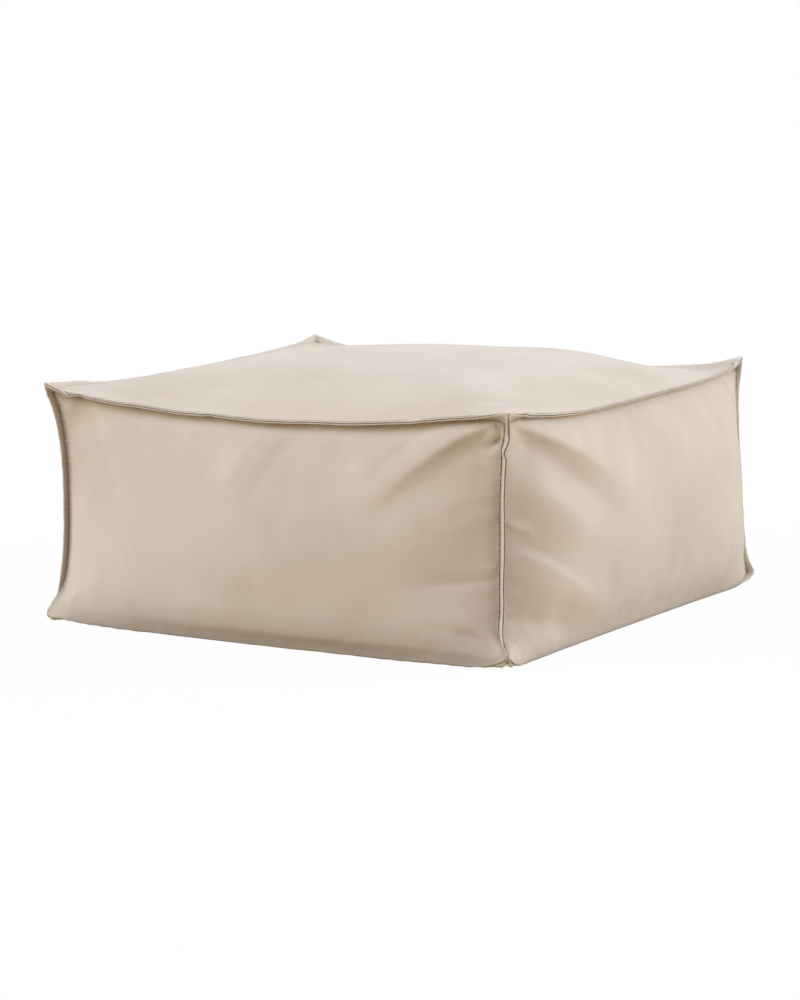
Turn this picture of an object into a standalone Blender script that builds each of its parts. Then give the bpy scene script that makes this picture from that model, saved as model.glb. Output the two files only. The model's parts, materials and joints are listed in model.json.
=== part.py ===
"""A square floor pouf in plain beige canvas, softly filled, with every seam turned outward as a flange.

The filled body is one solid: a cube whose edges are cut back to a narrow strip, where the flange is sewn on,
and whose points are then moved to the slumped shape. Each of the six panels has its turned edge as a closed
ring of its own, and two rings lie side by side along every seam as the flange's two lips.

Metres, +Z up, front at -Y, right at +X. The origin is on the floor under the middle of the pouf.
"""

import math
from collections import namedtuple

import bmesh
import bpy
from mathutils import Vector

# Driving sizes
SIDE = 0.90  # from corner tip to corner tip, along X and along Y
TIP_HEIGHT = 0.411  # the floor to the four upper corner tips
CORNER_REACH = 0.0195  # a seam's root to its tip at a corner, where flanges are mitred
LIP_THICKNESS = 0.0025  # the canvas turned back on itself
GAP = 0.0003  # between one piece and the next
LIP_ROUNDING = 0.0008  # cut off each long edge of a lip's fold
CORNER_TURN = 0.075  # how far from a corner a flange starts to turn toward its tip
LIFT_REACH = 0.060  # how far from a corner its lift dies away
HEAVE_REACH = 0.060  # how far from a corner its heave is highest
CORNER_SINK = 0.0026  # how far the filled body's corners lie below the roots of their seams

# The mesh
STEPS_ACROSS = 28  # steps along a seam that runs along X or Y
STEPS_UP = 18  # steps along a seam that runs up a corner
CROWDING = 0.28  # how much closer the steps lie near the corners, 0 to 0.5

SMOOTH_ANGLE = 40  # the most degrees between two facets that are shaded as one curve

# Canvas
CANVAS_COLOUR = (0.60, 0.52, 0.43, 1.0)
CANVAS_ROUGHNESS = 0.9

COLLECTION = "cube_pouf_stool"

# Each panel: the axis and side that it faces, and the two axes that it spans.
Panel = namedtuple("Panel", "axis side u_axis v_axis")
PANELS = {
    "top": Panel(2, 1, 0, 1),
    "base": Panel(2, -1, 0, 1),
    "front": Panel(1, -1, 0, 2),
    "back": Panel(1, 1, 0, 2),
    "left": Panel(0, -1, 1, 2),
    "right": Panel(0, 1, 1, 2),
}

# Corner tips, by the sides (x, y, z) they are on: their shift from a true box's corner, how much more the
# seams are lifted just there, how many degrees above level the tip points, and how far the level seams heave
# up a hand's width away from the corner.
Corner = namedtuple("Corner", "shift lift rise heave")
CORNERS = {
    (-1, -1, 1): Corner((0.006, 0.004, -0.001), 0.000, 43, 0.000),
    (1, -1, 1): Corner((-0.007, -0.003, 0.002), 0.004, 57, 0.0120),
    (1, 1, 1): Corner((0.005, 0.002, 0.001), 0.002, 45, 0.000),
    (-1, 1, 1): Corner((0.008, 0.004, -0.008), 0.002, 50, 0.000),
    (-1, -1, -1): Corner((0.002, 0.000, 0.009), 0.000, -15, 0.000),
    (1, -1, -1): Corner((-0.003, -0.002, 0.009), 0.018, -15, 0.000),
    (1, 1, -1): Corner((0.034, 0.010, 0.012), 0.008, 0, 0.000),
    (-1, 1, -1): Corner((0.004, 0.004, 0.009), 0.004, -15, 0.000),
}

# Seams, by their two panels: how far the middle of the root line is moved from the straight line between its
# corners, how boxy that curve is toward its low and its high end, how far the flange stands out from its
# root, and how many degrees it leans from halfway between the two panels toward the first one.
Seam = namedtuple("Seam", "first second shift low_power high_power width lean")
SEAMS = (
    Seam("top", "front", (0.000, -0.002, -0.0225), 2.4, 1.5, 0.0130, -38),
    Seam("top", "right", (0.006, 0.000, -0.0105), 4.0, 4.5, 0.0130, -38),
    Seam("top", "back", (0.000, 0.002, -0.022), 4.0, 4.0, 0.0130, -12),
    Seam("top", "left", (-0.002, 0.000, -0.015), 2.7, 1.6, 0.0130, -4),
    Seam("base", "front", (0.000, -0.024, -0.0006), 6.0, 2.4, 0.0150, 6),
    Seam("base", "right", (0.000, 0.000, 0.003), 3.0, 3.0, 0.0130, 28),
    Seam("base", "back", (0.000, 0.012, 0.002), 3.0, 3.0, 0.0140, 8),
    Seam("base", "left", (-0.012, 0.000, 0.001), 3.0, 3.0, 0.0140, 8),
    Seam("left", "front", (0.0165, 0.0180, 0.000), 3.1, 2.5, 0.0120, 0),
    Seam("right", "front", (-0.0195, 0.0194, 0.000), 5.0, 2.6, 0.0125, 8),
    Seam("right", "back", (0.004, -0.022, 0.000), 5.0, 4.0, 0.0120, -40),
    Seam("left", "back", (0.018, -0.018, 0.000), 4.5, 3.0, 0.0125, 0),
)

# How far each panel swells past its seams, how boxy the swelling is along the panel's first and second axis,
# and how low it hangs: 1 has its fullest line halfway up, and less brings it nearer the floor.
Swell = namedtuple("Swell", "height u_power v_power hang")
SWELLS = {
    "top": Swell(0.052, 3.2, 3.2, 1.0),
    "base": Swell(0.120, 4.0, 4.0, 1.0),
    "front": Swell(0.048, 3.0, 2.7, 0.80),
    "back": Swell(0.046, 3.0, 2.4, 0.82),
    "left": Swell(0.036, 3.0, 2.4, 0.82),
    "right": Swell(0.052, 6.0, 2.8, 0.80),
}
SEAM_FADE = 3.0  # how fast a seam's own curve dies away across the panel

# Main folds of each panel, in fractions of its half width and half height from its middle: where a fold
# starts and ends, its width halfway along and its height. A trough has a negative height.
Fold = namedtuple("Fold", "panel start end width height")
FOLDS = (
    Fold("front", (0.98, 0.97), (0.36, 0.08), 0.044, 0.015),
    Fold("front", (0.98, 0.80), (0.38, -0.06), 0.044, -0.014),
    Fold("front", (0.98, 0.56), (0.36, -0.26), 0.044, 0.007),
    Fold("front", (0.02, 0.98), (-0.18, 0.10), 0.034, 0.007),
    Fold("front", (0.14, 0.98), (-0.04, 0.10), 0.034, -0.005),
    Fold("front", (-0.94, 0.92), (-0.58, -0.20), 0.046, -0.010),
    Fold("front", (0.98, -0.93), (0.58, -0.50), 0.030, 0.009),
    Fold("front", (0.98, -0.34), (0.52, -0.40), 0.030, -0.007),
    Fold("right", (-0.98, 0.97), (-0.18, 0.26), 0.044, 0.015),
    Fold("right", (-0.98, 0.86), (-0.28, -0.06), 0.044, -0.016),
    Fold("right", (-0.98, 0.50), (-0.30, -0.16), 0.036, 0.008),
    Fold("right", (-0.98, 0.04), (-0.30, -0.70), 0.030, -0.009),
    Fold("right", (-0.98, -0.14), (-0.26, -0.84), 0.030, 0.008),
    Fold("right", (-0.98, -0.62), (-0.44, -0.82), 0.030, -0.009),
    Fold("right", (-0.08, 0.98), (0.46, 0.16), 0.042, 0.006),
    Fold("back", (-0.98, 0.95), (-0.34, 0.30), 0.038, 0.015),
    Fold("back", (-0.98, 0.74), (-0.34, 0.02), 0.040, -0.014),
    Fold("back", (0.98, 0.95), (0.26, 0.40), 0.036, 0.013),
    Fold("back", (0.98, 0.74), (0.30, 0.12), 0.038, -0.012),
    Fold("back", (0.10, 0.98), (0.26, 0.14), 0.036, 0.006),
    Fold("back", (-0.98, -0.90), (-0.50, -0.50), 0.032, 0.008),
    Fold("left", (-0.98, 0.95), (-0.28, 0.34), 0.036, 0.013),
    Fold("left", (-0.98, 0.72), (-0.30, 0.04), 0.040, -0.012),
    Fold("left", (0.98, 0.96), (0.36, 0.22), 0.036, 0.015),
    Fold("left", (0.98, 0.72), (0.42, -0.08), 0.040, -0.014),
    Fold("left", (0.98, -0.90), (0.46, -0.58), 0.032, 0.007),
    Fold("top", (-0.98, 0.98), (-0.20, 0.30), 0.070, -0.008),
    Fold("top", (-0.98, -0.98), (-0.30, -0.24), 0.065, 0.007),
    Fold("top", (0.98, -0.98), (0.28, -0.32), 0.075, 0.008),
    Fold("top", (0.98, 0.98), (0.34, 0.38), 0.065, -0.007),
    Fold("top", (0.20, 0.98), (-0.14, 0.14), 0.070, 0.006),
)
FOLD_EDGE = 0.015  # folds grow to full height this far from the seams
FOLD_OPENING = 0.75  # a fold's width where it starts, as a share of its width halfway along
FOLD_CREST = 0.85  # below 1, a fold is highest before it is halfway along


def clear_scene():
    for obj in list(bpy.data.objects):
        bpy.data.objects.remove(obj, do_unlink=True)


def normal_of(panel):
    normal = Vector((0, 0, 0))
    normal[PANELS[panel].axis] = PANELS[panel].side
    return normal


def eased(step, steps):
    """The place of a step along a seam, from -1 to 1, with the steps crowded toward both ends."""
    even = 2 * step / steps - 1
    return even * (1 + CROWDING - CROWDING * even**2)


def steps_along(axis):
    return STEPS_UP if axis == 2 else STEPS_ACROSS


def tip_direction(sides):
    corner = CORNERS[sides]
    away = math.atan2(sides[1], sides[0])
    rise = math.radians(corner.rise)
    return Vector((math.cos(rise) * math.cos(away), math.cos(rise) * math.sin(away), math.sin(rise)))


def corner_root(sides):
    """Where the three seams of a corner meet."""
    box = Vector((sides[0] * SIDE / 2, sides[1] * SIDE / 2, TIP_HEIGHT if sides[2] > 0 else 0))
    return box + Vector(CORNERS[sides].shift) - CORNER_REACH * tip_direction(sides)


class SeamLine:
    """One seam: its root line, which way its flange stands, and which way is across the flange."""

    def __init__(self, row):
        self.row = row
        first, second = PANELS[row.first], PANELS[row.second]
        self.axis = ({0, 1, 2} - {first.axis, second.axis}).pop()
        self.steps = steps_along(self.axis)
        sides = [0, 0, 0]
        sides[first.axis], sides[second.axis] = first.side, second.side
        self.low = tuple(-1 if i == self.axis else s for i, s in enumerate(sides))
        self.high = tuple(1 if i == self.axis else s for i, s in enumerate(sides))
        places = [eased(i, self.steps) for i in range(self.steps + 1)]
        self.roots = [self.root_at(place) for place in places]
        self.turns = [max(0.0, 1 - self.from_corner(place) / CORNER_TURN) ** 2 for place in places]
        self.outs = [self.out_at(place, turn) for place, turn in zip(places, self.turns)]
        self.widths = [row.width + turn * (CORNER_REACH - row.width) for turn in self.turns]
        sinks = [CORNER_SINK * math.sqrt(turn) for turn in self.turns]
        self.body_roots = [root - sink * out for root, sink, out in zip(self.roots, sinks, self.outs)]
        self.acrosses = [self.across_at(i) for i in range(self.steps + 1)]

    def from_corner(self, place):
        return (1 - abs(place)) * (corner_root(self.low) - corner_root(self.high)).length / 2

    def root_at(self, place):
        straight = corner_root(self.low).lerp(corner_root(self.high), (1 + place) / 2)
        near, power = (self.low, self.row.low_power) if place < 0 else (self.high, self.row.high_power)
        lift = CORNERS[near].lift * max(0.0, 1 - self.from_corner(place) / LIFT_REACH) ** 2
        if self.axis != 2:
            reaches = self.from_corner(place) / HEAVE_REACH
            lift += CORNERS[near].heave * reaches * math.exp(1 - reaches)
        return straight + Vector(self.row.shift) * (1 - abs(place) ** power) + Vector((0, 0, lift))

    def out_at(self, place, turn):
        """Which way the flange stands out from its root."""
        lean = math.radians(45 + self.row.lean)
        middle = math.sin(lean) * normal_of(self.row.first) + math.cos(lean) * normal_of(self.row.second)
        return middle.lerp(tip_direction(self.low if place < 0 else self.high), turn).normalized()

    def across_at(self, step):
        """Square to the seam and to its flange, toward the first panel."""
        before, after = max(step - 1, 0), min(step + 1, self.steps)
        along = self.roots[after] - self.roots[before]
        across = along.cross(self.outs[step]).normalized()
        first_less_second = normal_of(self.row.first) - normal_of(self.row.second)
        return across if across.dot(first_less_second) > 0 else -across


def neighbours_at(panel, index_u, index_v):
    """The panels that a panel's grid place touches: none inside it, one on its edge, two at its corner."""
    info = PANELS[panel]
    touched = []
    for axis, index in ((info.u_axis, index_u), (info.v_axis, index_v)):
        for side, end in ((-1, 0), (1, steps_along(axis))):
            if index == end:
                touched.append(panel_facing(axis, side))
    return touched


def panel_facing(axis, side):
    return next(name for name, p in PANELS.items() if (p.axis, p.side) == (axis, side))


class Pouf:
    """The seams of the whole pouf, and where each panel's points lie between them."""

    def __init__(self):
        self.seams = {frozenset((row.first, row.second)): SeamLine(row) for row in SEAMS}

    def across(self, panel, others, step_of):
        """Across the flange toward a panel, mitred where two of the panel's seams meet."""
        sides = []
        for other in others:
            seam = self.seams[frozenset((panel, other))]
            across = seam.acrosses[step_of(seam)]
            sides.append(across if seam.row.first == panel else -across)
        if len(sides) == 1:
            return sides[0]
        return (sides[0] + sides[1]) / (1 + sides[0].dot(sides[1]))

    def edge_frame(self, panel, index_u, index_v):
        """The seam at a place on a panel's edge, the step there, and the way across its flange."""
        info = PANELS[panel]
        others = neighbours_at(panel, index_u, index_v)

        def step_of(seam):
            if seam.axis == info.u_axis:
                return index_u
            return index_v

        seam = self.seams[frozenset((panel, others[0]))]
        return seam, step_of(seam), self.across(panel, others, step_of)

    def body_edge(self, panel, index_u, index_v):
        """Where a panel's cloth meets its seam: clear of the lip that stands on it."""
        seam, step, across = self.edge_frame(panel, index_u, index_v)
        return seam.body_roots[step] + (GAP / 2 + LIP_THICKNESS + GAP) * across

    def surface(self, panel, index_u, index_v):
        """A point of the filled panel."""
        info, swell = PANELS[panel], SWELLS[panel]
        steps_u, steps_v = steps_along(info.u_axis), steps_along(info.v_axis)
        u, v = eased(index_u, steps_u), eased(index_v, steps_v)
        if neighbours_at(panel, index_u, index_v):
            return self.body_edge(panel, index_u, index_v)
        corners = {
            (i, j): self.body_edge(panel, i * steps_u, j * steps_v) for i in (0, 1) for j in (0, 1)
        }
        s, t = (1 + u) / 2, (1 + v) / 2
        point = corners[0, 0].lerp(corners[1, 0], s).lerp(corners[0, 1].lerp(corners[1, 1], s), t)
        for end, fade in ((0, 1 - t), (1, t)):
            straight = corners[0, end].lerp(corners[1, end], s)
            point += fade**SEAM_FADE * (self.body_edge(panel, index_u, end * steps_v) - straight)
        for end, fade in ((0, 1 - s), (1, s)):
            straight = corners[end, 0].lerp(corners[end, 1], t)
            point += fade**SEAM_FADE * (self.body_edge(panel, end * steps_u, index_v) - straight)
        hung = 2 * t**swell.hang - 1
        full = (1 - abs(u) ** swell.u_power) * (1 - abs(hung) ** swell.v_power)
        point += (swell.height * full + fold_height(panel, u, v)) * normal_of(panel)
        point.z = max(point.z, 0.0)  # the floor presses the filling flat
        return point


def panel_metres(panel, u, v):
    """A place on a flat panel in metres from its middle."""
    half = [SIDE / 2, SIDE / 2, TIP_HEIGHT / 2]
    return Vector((u * half[PANELS[panel].u_axis], v * half[PANELS[panel].v_axis]))


def fold_height(panel, u, v):
    """How far a panel's folds raise or sink its cloth at a place."""
    here = panel_metres(panel, u, v)
    edge = panel_metres(panel, 1, 1) - Vector((abs(here.x), abs(here.y)))
    near_seam = min(1.0, min(edge.x, edge.y) / FOLD_EDGE)
    height = 0.0
    for fold in FOLDS:
        if fold.panel != panel:
            continue
        start, end = panel_metres(panel, *fold.start), panel_metres(panel, *fold.end)
        run = end - start
        along = (here - start).dot(run) / run.length_squared
        if not 0 < along < 1:
            continue
        width = fold.width * (FOLD_OPENING + 2 * (1 - FOLD_OPENING) * along)
        off = (here - start - along * run).length / width
        height += fold.height * math.sin(math.pi * along**FOLD_CREST) * math.exp(-(off**2))
    return height * near_seam


def canvas_material(name):
    material = bpy.data.materials.new(name)
    material.use_nodes = True
    shader = material.node_tree.nodes["Principled BSDF"]
    shader.inputs["Base Color"].default_value = CANVAS_COLOUR
    shader.inputs["Roughness"].default_value = CANVAS_ROUGHNESS
    shader.inputs["Metallic"].default_value = 0.0
    return material


def add_object(name, mesh_data, collection):
    mesh = bpy.data.meshes.new(name)
    mesh_data.to_mesh(mesh)
    mesh_data.free()
    mesh.shade_smooth()
    mesh.set_sharp_from_angle(angle=math.radians(SMOOTH_ANGLE))
    mesh.materials.append(canvas_material(f"{name}_canvas"))
    obj = bpy.data.objects.new(name, mesh)
    collection.objects.link(obj)
    return obj


def cube_steps(axis):
    """The stepped cube has one more row on each side of a panel than the seams round it have steps."""
    return steps_along(axis) + 2


def build_body(pouf, collection):
    """A cube with its faces stepped, then moved point by point to the filled shape. Its edges become the seams'
    roots and the next row of points the place where each panel's cloth leaves its seam."""
    shape = bmesh.new()
    bmesh.ops.create_cube(shape, size=2)
    for axis in range(3):
        running = [edge for edge in shape.edges if runs_along(edge, axis)]
        bmesh.ops.subdivide_edges(shape, edges=running, cuts=cube_steps(axis) - 1, use_grid_fill=True)
    for vert in shape.verts:
        vert.co = body_point(pouf, vert.co)
    bmesh.ops.remove_doubles(shape, verts=shape.verts[:], dist=GAP / 10)
    bmesh.ops.triangulate(shape, faces=shape.faces[:], quad_method="SHORT_EDGE")
    bmesh.ops.recalc_face_normals(shape, faces=shape.faces[:])
    return add_object("pouf_body", shape, collection)


def runs_along(edge, axis):
    start, end = (vert.co[axis] for vert in edge.verts)
    return start * end < 0


def body_point(pouf, cube_point):
    """Where a point of the stepped cube goes. The points next to a cube's corner all fall on the corner's root,
    and are merged there."""
    index = [round((place + 1) / 2 * cube_steps(axis)) for axis, place in enumerate(cube_point)]
    step = [min(max(i - 1, 0), steps_along(axis)) for axis, i in enumerate(index)]
    facing = [panel_facing(axis, 1 if i else -1) for axis, i in enumerate(index) if i in (0, cube_steps(axis))]
    if len(facing) == 1:
        info = PANELS[facing[0]]
        return pouf.surface(facing[0], step[info.u_axis], step[info.v_axis])
    seam = pouf.seams[frozenset(facing[:2])]
    return seam.body_roots[step[seam.axis]]


def ring_places(panel):
    """The grid places around a panel's edge, in order, each once."""
    last_u = steps_along(PANELS[panel].u_axis)
    last_v = steps_along(PANELS[panel].v_axis)
    around = [(i, 0) for i in range(last_u)]
    around += [(last_u, j) for j in range(last_v)]
    around += [(last_u - i, last_v) for i in range(last_u)]
    around += [(0, last_v - j) for j in range(last_v)]
    return around


def lip_section(width):
    """A lip's outline, as (out along the flange, across toward its panel), with the fold's edges rounded."""
    inner, outer = GAP / 2, GAP / 2 + LIP_THICKNESS
    shoulder = width - LIP_ROUNDING
    return (
        (GAP, inner),
        (shoulder, inner),
        (width, inner + LIP_ROUNDING),
        (width, outer - LIP_ROUNDING),
        (shoulder, outer),
        (GAP, outer),
    )


def build_edge(pouf, panel, collection):
    """A panel's turned edge: one section carried round the panel. Each four-sided patch is split the same way
    on both lips of a seam, so that the lips never touch."""
    shape = bmesh.new()
    places = ring_places(panel)
    rings = []
    for place in places:
        seam, step, across = pouf.edge_frame(panel, *place)
        root, out = seam.roots[step], seam.outs[step]
        rings.append([shape.verts.new(root + o * out + a * across) for o, a in lip_section(seam.widths[step])])
    for i, place in enumerate(places):
        near, far = rings[i], rings[(i + 1) % len(rings)]
        if sum(places[(i + 1) % len(places)]) < sum(place):
            near, far = far, near
        for j in range(len(near)):
            k = (j + 1) % len(near)
            shape.faces.new((near[j], near[k], far[k]))
            shape.faces.new((near[j], far[k], far[j]))
    bmesh.ops.recalc_face_normals(shape, faces=shape.faces[:])
    return add_object(f"{panel}_panel_edge", shape, collection)


def main():
    clear_scene()
    collection = bpy.data.collections.new(COLLECTION)
    bpy.context.scene.collection.children.link(collection)
    pouf = Pouf()
    build_body(pouf, collection)
    for panel in PANELS:
        build_edge(pouf, panel, collection)


main()
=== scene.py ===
"""The looks of a square floor pouf in plain beige canvas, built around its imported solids.

The filled cover starts from the filled solid. It is refined, filled under pressure by cloth simulation and
given its fine creases. The turned edges of the six panels become the soft double lips of the flanged seams.
Metres, +Z up, front at -Y, right at +X.
"""

from __future__ import annotations

import json
import logging
import math
import random
from dataclasses import dataclass
from enum import Enum
from typing import Iterable, NamedTuple

import bpy
import numpy as np
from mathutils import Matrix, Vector, noise
from mathutils.bvhtree import BVHTree
from mathutils.kdtree import KDTree

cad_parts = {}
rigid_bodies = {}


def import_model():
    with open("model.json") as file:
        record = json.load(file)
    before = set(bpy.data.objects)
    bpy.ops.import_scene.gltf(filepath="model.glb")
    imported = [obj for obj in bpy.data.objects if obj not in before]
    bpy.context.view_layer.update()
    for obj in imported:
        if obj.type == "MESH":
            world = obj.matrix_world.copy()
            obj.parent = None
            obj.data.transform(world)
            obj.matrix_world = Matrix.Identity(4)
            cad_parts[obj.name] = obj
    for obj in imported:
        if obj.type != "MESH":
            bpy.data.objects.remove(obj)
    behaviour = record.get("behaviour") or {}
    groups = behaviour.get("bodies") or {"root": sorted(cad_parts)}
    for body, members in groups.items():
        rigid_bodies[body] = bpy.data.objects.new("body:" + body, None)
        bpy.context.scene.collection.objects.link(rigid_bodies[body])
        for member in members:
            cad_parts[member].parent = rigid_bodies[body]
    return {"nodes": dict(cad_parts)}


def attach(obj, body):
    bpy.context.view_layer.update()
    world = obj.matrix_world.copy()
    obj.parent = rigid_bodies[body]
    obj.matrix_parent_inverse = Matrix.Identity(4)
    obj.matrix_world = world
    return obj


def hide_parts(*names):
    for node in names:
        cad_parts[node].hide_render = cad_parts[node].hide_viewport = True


LOG = logging.getLogger("floor_pouf")

BODY = "root"
COVER_NODE = "pouf_body"
MILLIMETRE = 0.001
SEED_STEPS = (7.3, 3.1, 5.7)  # how far one step of a noise seed moves its pattern

NEAR_SEAM = "near_seam"  # attribute: 1 on a seam, fading to 0 on the open panel
SEAM_SHADE = "seam_shade"  # attribute: how dark the painted shade beside a seam is, where the flange shades the cloth
SEAM_RUN = "seam_run"  # attribute: metres along the nearest seam
LIP_RISE = "lip_rise"  # attribute: 0 at a lip's root, 1 at its outer edge
PANEL_INDEX = "panel_index"  # attribute: which panel a face belongs to
SEAM_GROUP = "seam_line"  # vertex group: the cover's sewn lines


class Panel(Enum):
    """The six canvas panels: the axis and side each faces, and the two axes that it spans."""

    TOP = (2, 1, 0, 1)
    BASE = (2, -1, 0, 1)
    FRONT = (1, -1, 0, 2)
    BACK = (1, 1, 0, 2)
    LEFT = (0, -1, 1, 2)
    RIGHT = (0, 1, 1, 2)

    @property
    def axis(self) -> int:
        """The axis that the panel faces along."""
        return self.value[0]

    @property
    def side(self) -> int:
        """Which way it faces along that axis."""
        return self.value[1]

    @property
    def span(self) -> tuple[int, int]:
        """The two axes of the panel's own flat coordinates."""
        return self.value[2], self.value[3]

    @property
    def normal(self) -> np.ndarray:
        """The way that the panel faces.

        Returns:
            A row of x, y and z, one metre long.
        """
        facing = np.zeros(3)
        facing[self.axis] = self.side
        return facing

    @property
    def index(self) -> int:
        """The panel's number in the face attribute."""
        return list(Panel).index(self)

    def seam_axis(self, other: Panel) -> int:
        """The axis that the seam between this panel and another runs along."""
        return ({0, 1, 2} - {self.axis, other.axis}).pop()

    @property
    def edge_node(self) -> str:
        """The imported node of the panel's turned edge."""
        return f"{self.name.lower()}_panel_edge"


class Crease(NamedTuple):
    """One soft ridge or trough of a panel's cloth, in metres on the panel's two flat axes.

    It runs from start through via to end. Its two flanks have their own widths: left and right as seen along
    the crease from outside the pouf's positive axes. A trough has a negative height.
    """

    start: tuple[float, float]
    via: tuple[float, float]
    end: tuple[float, float]
    left: float
    right: float
    height: float
    peak: float  # where along its length it is highest, from 0 to 1


CREASE_REACH = 2.5  # a crease is worked out this many of its widths to each side
CREASE_PIECES = 16  # straight pieces that stand for its curve
CREASE_START = 0.7  # its width at its start, as a share of the width given
CREASE_OPENING = 0.6  # how much that share grows along its length


class Swelling(NamedTuple):
    """A broad soft rise of a panel where the filling has gathered, on the panel's two flat axes."""

    place: tuple[float, float]
    radius: float
    height: float


class SeamFit(NamedTuple):
    """How the cloth of two panels lies at their seam.

    A climb is how far a panel's cloth rises up its lip, a dip is how deep it sinks beside the seam, and a
    tuck is how far its lip is drawn back.
    """

    first: Panel
    second: Panel
    first_climb: float
    second_climb: float
    reach: float  # how far into the panels the climb reaches
    first_dip: float
    second_dip: float
    first_tuck: float
    second_tuck: float
    shade_reach: float = 0.005  # how far the painted shade beside the seam reaches


class Kink(NamedTuple):
    """A place where a flange is pushed aside, by how far the shift says, over a short reach of its seam."""

    first: Panel
    second: Panel
    place: float  # on the axis that the seam runs along
    reach: float
    shift: tuple[float, float, float]
    root: float  # how much of the shift the seam itself takes, from 0 to 1


class Gathers(NamedTuple):
    """Small folds that leave one seam of a panel, where the stitching draws the cloth in."""

    panel: Panel
    axis: int  # which of the panel's two flat axes the seam runs along
    side: int  # which of the two seams along that axis: -1 or 1
    spacing: float
    length: float
    height: float
    lean: float  # degrees that the folds lean toward the positive end of the seam, on average


GATHER_WINDOW = 0.008  # how far along the seam the cloth's edge is looked for
GATHER_TURN = 18  # degrees that one fold may lean off the average
GATHER_LENGTHS = (0.45, 1.3)  # shares of the length given
GATHER_HEIGHTS = (0.25, 1.0)  # shares of the height given
GATHER_SIDES = (1.0, 1.0, -0.8)  # one fold in three is a trough, and shallower
GATHER_BOW = 0.1  # how far a fold may bow, as a share of its length
GATHER_SPOTS = (-0.05, 0.5, 1.0)  # shares of its length: it starts just behind the seam
GATHER_WIDTHS = (0.005, 0.009)  # the left flank's
GATHER_WIDENING = 0.04  # the share of its length that is added to its width
GATHER_FLANKS = (0.6, 1.3)  # the right flank's width, as a share of the left's
GATHER_PEAK = 0.22  # where along its length a fold is highest
GATHER_STEPS = (0.5, 1.7)  # shares of the spacing given


def deselect_all() -> None:
    """Deselects every object, so that an operator acts on one piece alone."""
    if bpy.context.object and bpy.context.object.mode != "OBJECT":
        bpy.ops.object.mode_set(mode="OBJECT")
    bpy.ops.object.select_all(action="DESELECT")


def take_up(piece: bpy.types.Object) -> None:
    """Selects one piece and makes it the active object.

    Args:
        piece: The object to work on.
    """
    deselect_all()
    piece.select_set(True)
    bpy.context.view_layer.objects.active = piece


def subdivide_smoothly(piece: bpy.types.Object) -> None:
    """Rounds and refines a piece by one level of subdivision.

    Args:
        piece: The mesh object.
    """
    take_up(piece)
    bpy.ops.object.modifier_add(type="SUBSURF")
    modifier = piece.modifiers[-1]
    modifier.levels = 1
    modifier.render_levels = 1
    modifier.boundary_smooth = "ALL"
    bpy.ops.object.modifier_apply(modifier=modifier.name)


def quad_copy(source: bpy.types.Object, name: str,
              merge: float, bend: float, skew: float) -> bpy.types.Object:
    """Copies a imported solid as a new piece, with its triangles joined and paired.

    Args:
        source: The CAD node.
        name: The new piece's name.
        merge: Points nearer to each other than this become one.
        bend: The widest angle between two triangles that make a pair, in degrees.
        skew: How far from square a pair may be, in degrees.

    Returns:
        The new piece.
    """
    piece = bpy.data.objects.new(name, source.data.copy())
    bpy.context.scene.collection.objects.link(piece)
    piece.data.materials.clear()
    take_up(piece)
    bpy.ops.object.mode_set(mode="EDIT")
    bpy.ops.mesh.select_all(action="SELECT")
    bpy.ops.mesh.remove_doubles(threshold=merge)
    bpy.ops.mesh.customdata_custom_splitnormals_clear()
    bpy.ops.mesh.mark_sharp(clear=True)
    bpy.ops.mesh.tris_convert_to_quads(face_threshold=math.radians(bend),
                                       shape_threshold=math.radians(skew))
    bpy.ops.object.mode_set(mode="OBJECT")
    return piece


def read_rows(elements: bpy.types.bpy_prop_collection, name: str, width: int, kind: type) -> np.ndarray:
    """Reads one row of numbers from each element of a mesh.

    Args:
        elements: The mesh's points, edges or the like.
        name: The property to read.
        width: How many numbers it has.
        kind: The type of the numbers.

    Returns:
        The rows.
    """
    flat = np.empty(len(elements) * width, kind)
    elements.foreach_get(name, flat)
    return flat.reshape(-1, width)


def points_of(piece: bpy.types.Object) -> np.ndarray:
    """The piece's points as rows of x, y and z."""
    return read_rows(piece.data.vertices, "co", 3, np.float64)


def merged_points_of(piece: bpy.types.Object) -> np.ndarray:
    """The piece's points with each place once."""
    return np.unique(points_of(piece).round(6), axis=0)


def normals_of(piece: bpy.types.Object) -> np.ndarray:
    """The piece's point normals as rows of x, y and z."""
    return read_rows(piece.data.vertex_normals, "vector", 3, np.float64)


def set_points(piece: bpy.types.Object, points: np.ndarray) -> None:
    """Moves the piece's points to the given rows."""
    piece.data.vertices.foreach_set("co", np.ascontiguousarray(points, np.float32).ravel())
    piece.data.update()


def edges_of(piece: bpy.types.Object) -> np.ndarray:
    """The piece's edges as rows of two point numbers."""
    return read_rows(piece.data.edges, "vertices", 2, np.int64)


def store(piece: bpy.types.Object, name: str, values: np.ndarray,
          kind: str = "FLOAT", domain: str = "POINT") -> None:
    """Keeps one number for each point, edge or face under a name.

    Args:
        piece: The mesh object.
        name: The attribute's name.
        values: One value for each element of the domain.
        kind: FLOAT or INT.
        domain: POINT, EDGE or FACE.
    """
    attributes = piece.data.attributes
    attribute = attributes.get(name) or attributes.new(name, kind, domain)
    attribute.data.foreach_set("value", values.astype(np.int32 if kind == "INT" else np.float32))


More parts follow.
